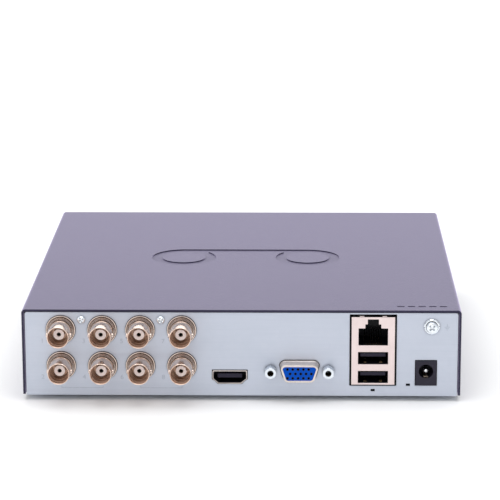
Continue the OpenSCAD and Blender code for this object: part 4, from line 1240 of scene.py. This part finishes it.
def smooth_route(name, steps=5):
    """Points on a smooth curve through a lead's route, in metres."""
    start = Vector((0.0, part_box("main_board")[0].y, case_z))
    route = [start + Vector(point) * MM for point in LEAD_ROUTES[name]]
    last = len(route) - 1
    points = []
    for i in range(last):
        a, b, c, d = route[max(i - 1, 0)], route[i], route[i + 1], route[min(i + 2, last)]
        for s in range(steps):
            t = s / steps
            points.append(0.5 * (2 * b + t * (c - a) + t ** 2 * (2 * a - 5 * b + 4 * c - d)
                                 + t ** 3 * (3 * b - a - 3 * c + d)))
    return points + [route[last]]


def strand(shape, path, radius, offset, start_turn, turns_per_metre):
    """One insulated wire that runs along a path, off its middle, and winds round it."""
    lift = Vector((0.0, 0.0, 1.0))
    rings = []
    gone = 0.0
    for i, point in enumerate(path):
        way = (path[min(i + 1, len(path) - 1)] - path[max(i - 1, 0)]).normalized()
        lift = (lift - way * lift.dot(way)).normalized()
        side = way.cross(lift)
        if i:
            gone += (point - path[i - 1]).length
        turn = start_turn + math.tau * turns_per_metre * gone
        core = point + (side * math.cos(turn) + lift * math.sin(turn)) * offset
        rings.append([
            core + (side * math.cos(math.tau * k / 12) + lift * math.sin(math.tau * k / 12)) * radius
            for k in range(12)
        ])
    loft(shape, rings, True, True)


def leads():
    """A flat twin data lead, and a power lead of four twisted wires."""
    path = smooth_route("sata_lead")
    shape = bmesh.new()
    for side in (0.0, math.pi):
        strand(shape, path, 1.05 * MM, 0.95 * MM, side, 0.0)
    new_piece("data_lead", shape, RED_SLEEVE, "recorder", 60.0, "sata_lead")
    path = smooth_route("power_lead", 8)
    wires = {"yellow": YELLOW_SLEEVE, "black_1": BLACK_PLASTIC, "red": RED_SLEEVE, "black_2": BLACK_PLASTIC}
    for i, (name, finish) in enumerate(wires.items()):
        shape = bmesh.new()
        strand(shape, path, 0.78 * MM, 0.9 * MM, math.pi / 2 * i, 22.0)
        new_piece(f"power_wire_{name}", shape, finish, "recorder", 60.0, None if i else "power_lead")


# ---- camera and studio ----

def rear_camera():
    """A long lens behind the recorder, a little above it, as the finished view needs."""
    yaw = math.radians(1.172)
    pitch = math.radians(13.914)
    roll = math.radians(-0.141)
    ahead = Vector((math.sin(yaw) * math.cos(pitch), -math.cos(yaw) * math.cos(pitch), -math.sin(pitch)))
    level = Vector((-math.cos(yaw), -math.sin(yaw), 0.0))
    upright = level.cross(ahead)
    right = level * math.cos(roll) + upright * math.sin(roll)
    up = upright * math.cos(roll) - level * math.sin(roll)
    lens = bpy.data.cameras.new("rear_camera")
    lens.lens = 169.6
    lens.sensor_width = 36.0
    lens.clip_start = 0.05
    lens.clip_end = 50.0
    camera = bpy.data.objects.new("rear_camera", lens)
    turned = Matrix((right, up, -ahead)).transposed()
    camera.matrix_world = Matrix.Translation((-23.94 * MM, 1065.9 * MM, 310.2 * MM)) @ turned.to_4x4()
    bpy.context.scene.collection.objects.link(camera)
    bpy.context.scene.camera = camera


def softbox(name, at, width, depth, power, tint=(1.0, 1.0, 1.0)):
    """A large soft lamp that points at the recorder."""
    lamp = bpy.data.lights.new(name, "AREA")
    lamp.shape = "RECTANGLE"
    lamp.size = width
    lamp.size_y = depth
    lamp.energy = power
    lamp.color = tint
    held = bpy.data.objects.new(name, lamp)
    held.location = at
    aim = Vector((0.0, 0.0, 0.02)) - Vector(at)
    held.rotation_euler = aim.to_track_quat("-Z", "Y").to_euler()
    bpy.context.scene.collection.objects.link(held)


def studio():
    """Pale floor, white surroundings and four soft lamps."""
    shape = bmesh.new()
    bmesh.ops.create_circle(shape, cap_ends=True, segments=96, radius=7.0)
    mesh = bpy.data.meshes.new("floor")
    shape.to_mesh(mesh)
    shape.free()
    floor = bpy.data.objects.new("floor", mesh)
    bpy.context.scene.collection.objects.link(floor)
    mesh.materials.append(mottled("pale_floor", (0.93, 0.93, 0.925), (0.95, 0.95, 0.945), (0.75, 0.85),
                                  (3.0, 0.5), Specular_IOR_Level=0.2))

    world = bpy.data.worlds.new("white_room")
    world.use_nodes = True
    room = world.node_tree.nodes["Background"].inputs
    room["Color"].default_value = (0.96, 0.97, 1.0, 1.0)
    room["Strength"].default_value = 0.80
    bpy.context.scene.world = world
    bpy.context.scene.view_settings.view_transform = "Standard"

    softbox("overhead_lamp", (0.0, 0.1, 1.5), 1.6, 1.6, 13.0)
    softbox("rear_lamp", (0.5, 1.5, 0.9), 0.9, 0.9, 3.5, (1.0, 0.985, 0.97))
    softbox("front_lamp", (0.0, -1.6, 0.8), 1.6, 0.9, 4.0)
    softbox("side_lamp", (1.5, 0.0, 0.6), 0.7, 0.7, 2.0)


camera_sockets()
monitor_shell()
jackscrew_posts()
monitor_contacts()
stack_trim()
network_contacts()
usb_contacts()
video_contacts()
video_shell()
socket_gaskets()
power_pin()
block_screws()
earth_washer()
earth_screw()
channel_numbers()
panel_strokes()
chip_legs()
small_chip_parts()
board_tracks()
can_tops()
coin_cell_clip()
lid_pressing()
blank_label()
coil_winding()
leads()

for width, soft_nodes in SOFT_EDGES.items():
    for node in soft_nodes.split():
        soften(node, width * MM)

rear_camera()
studio()
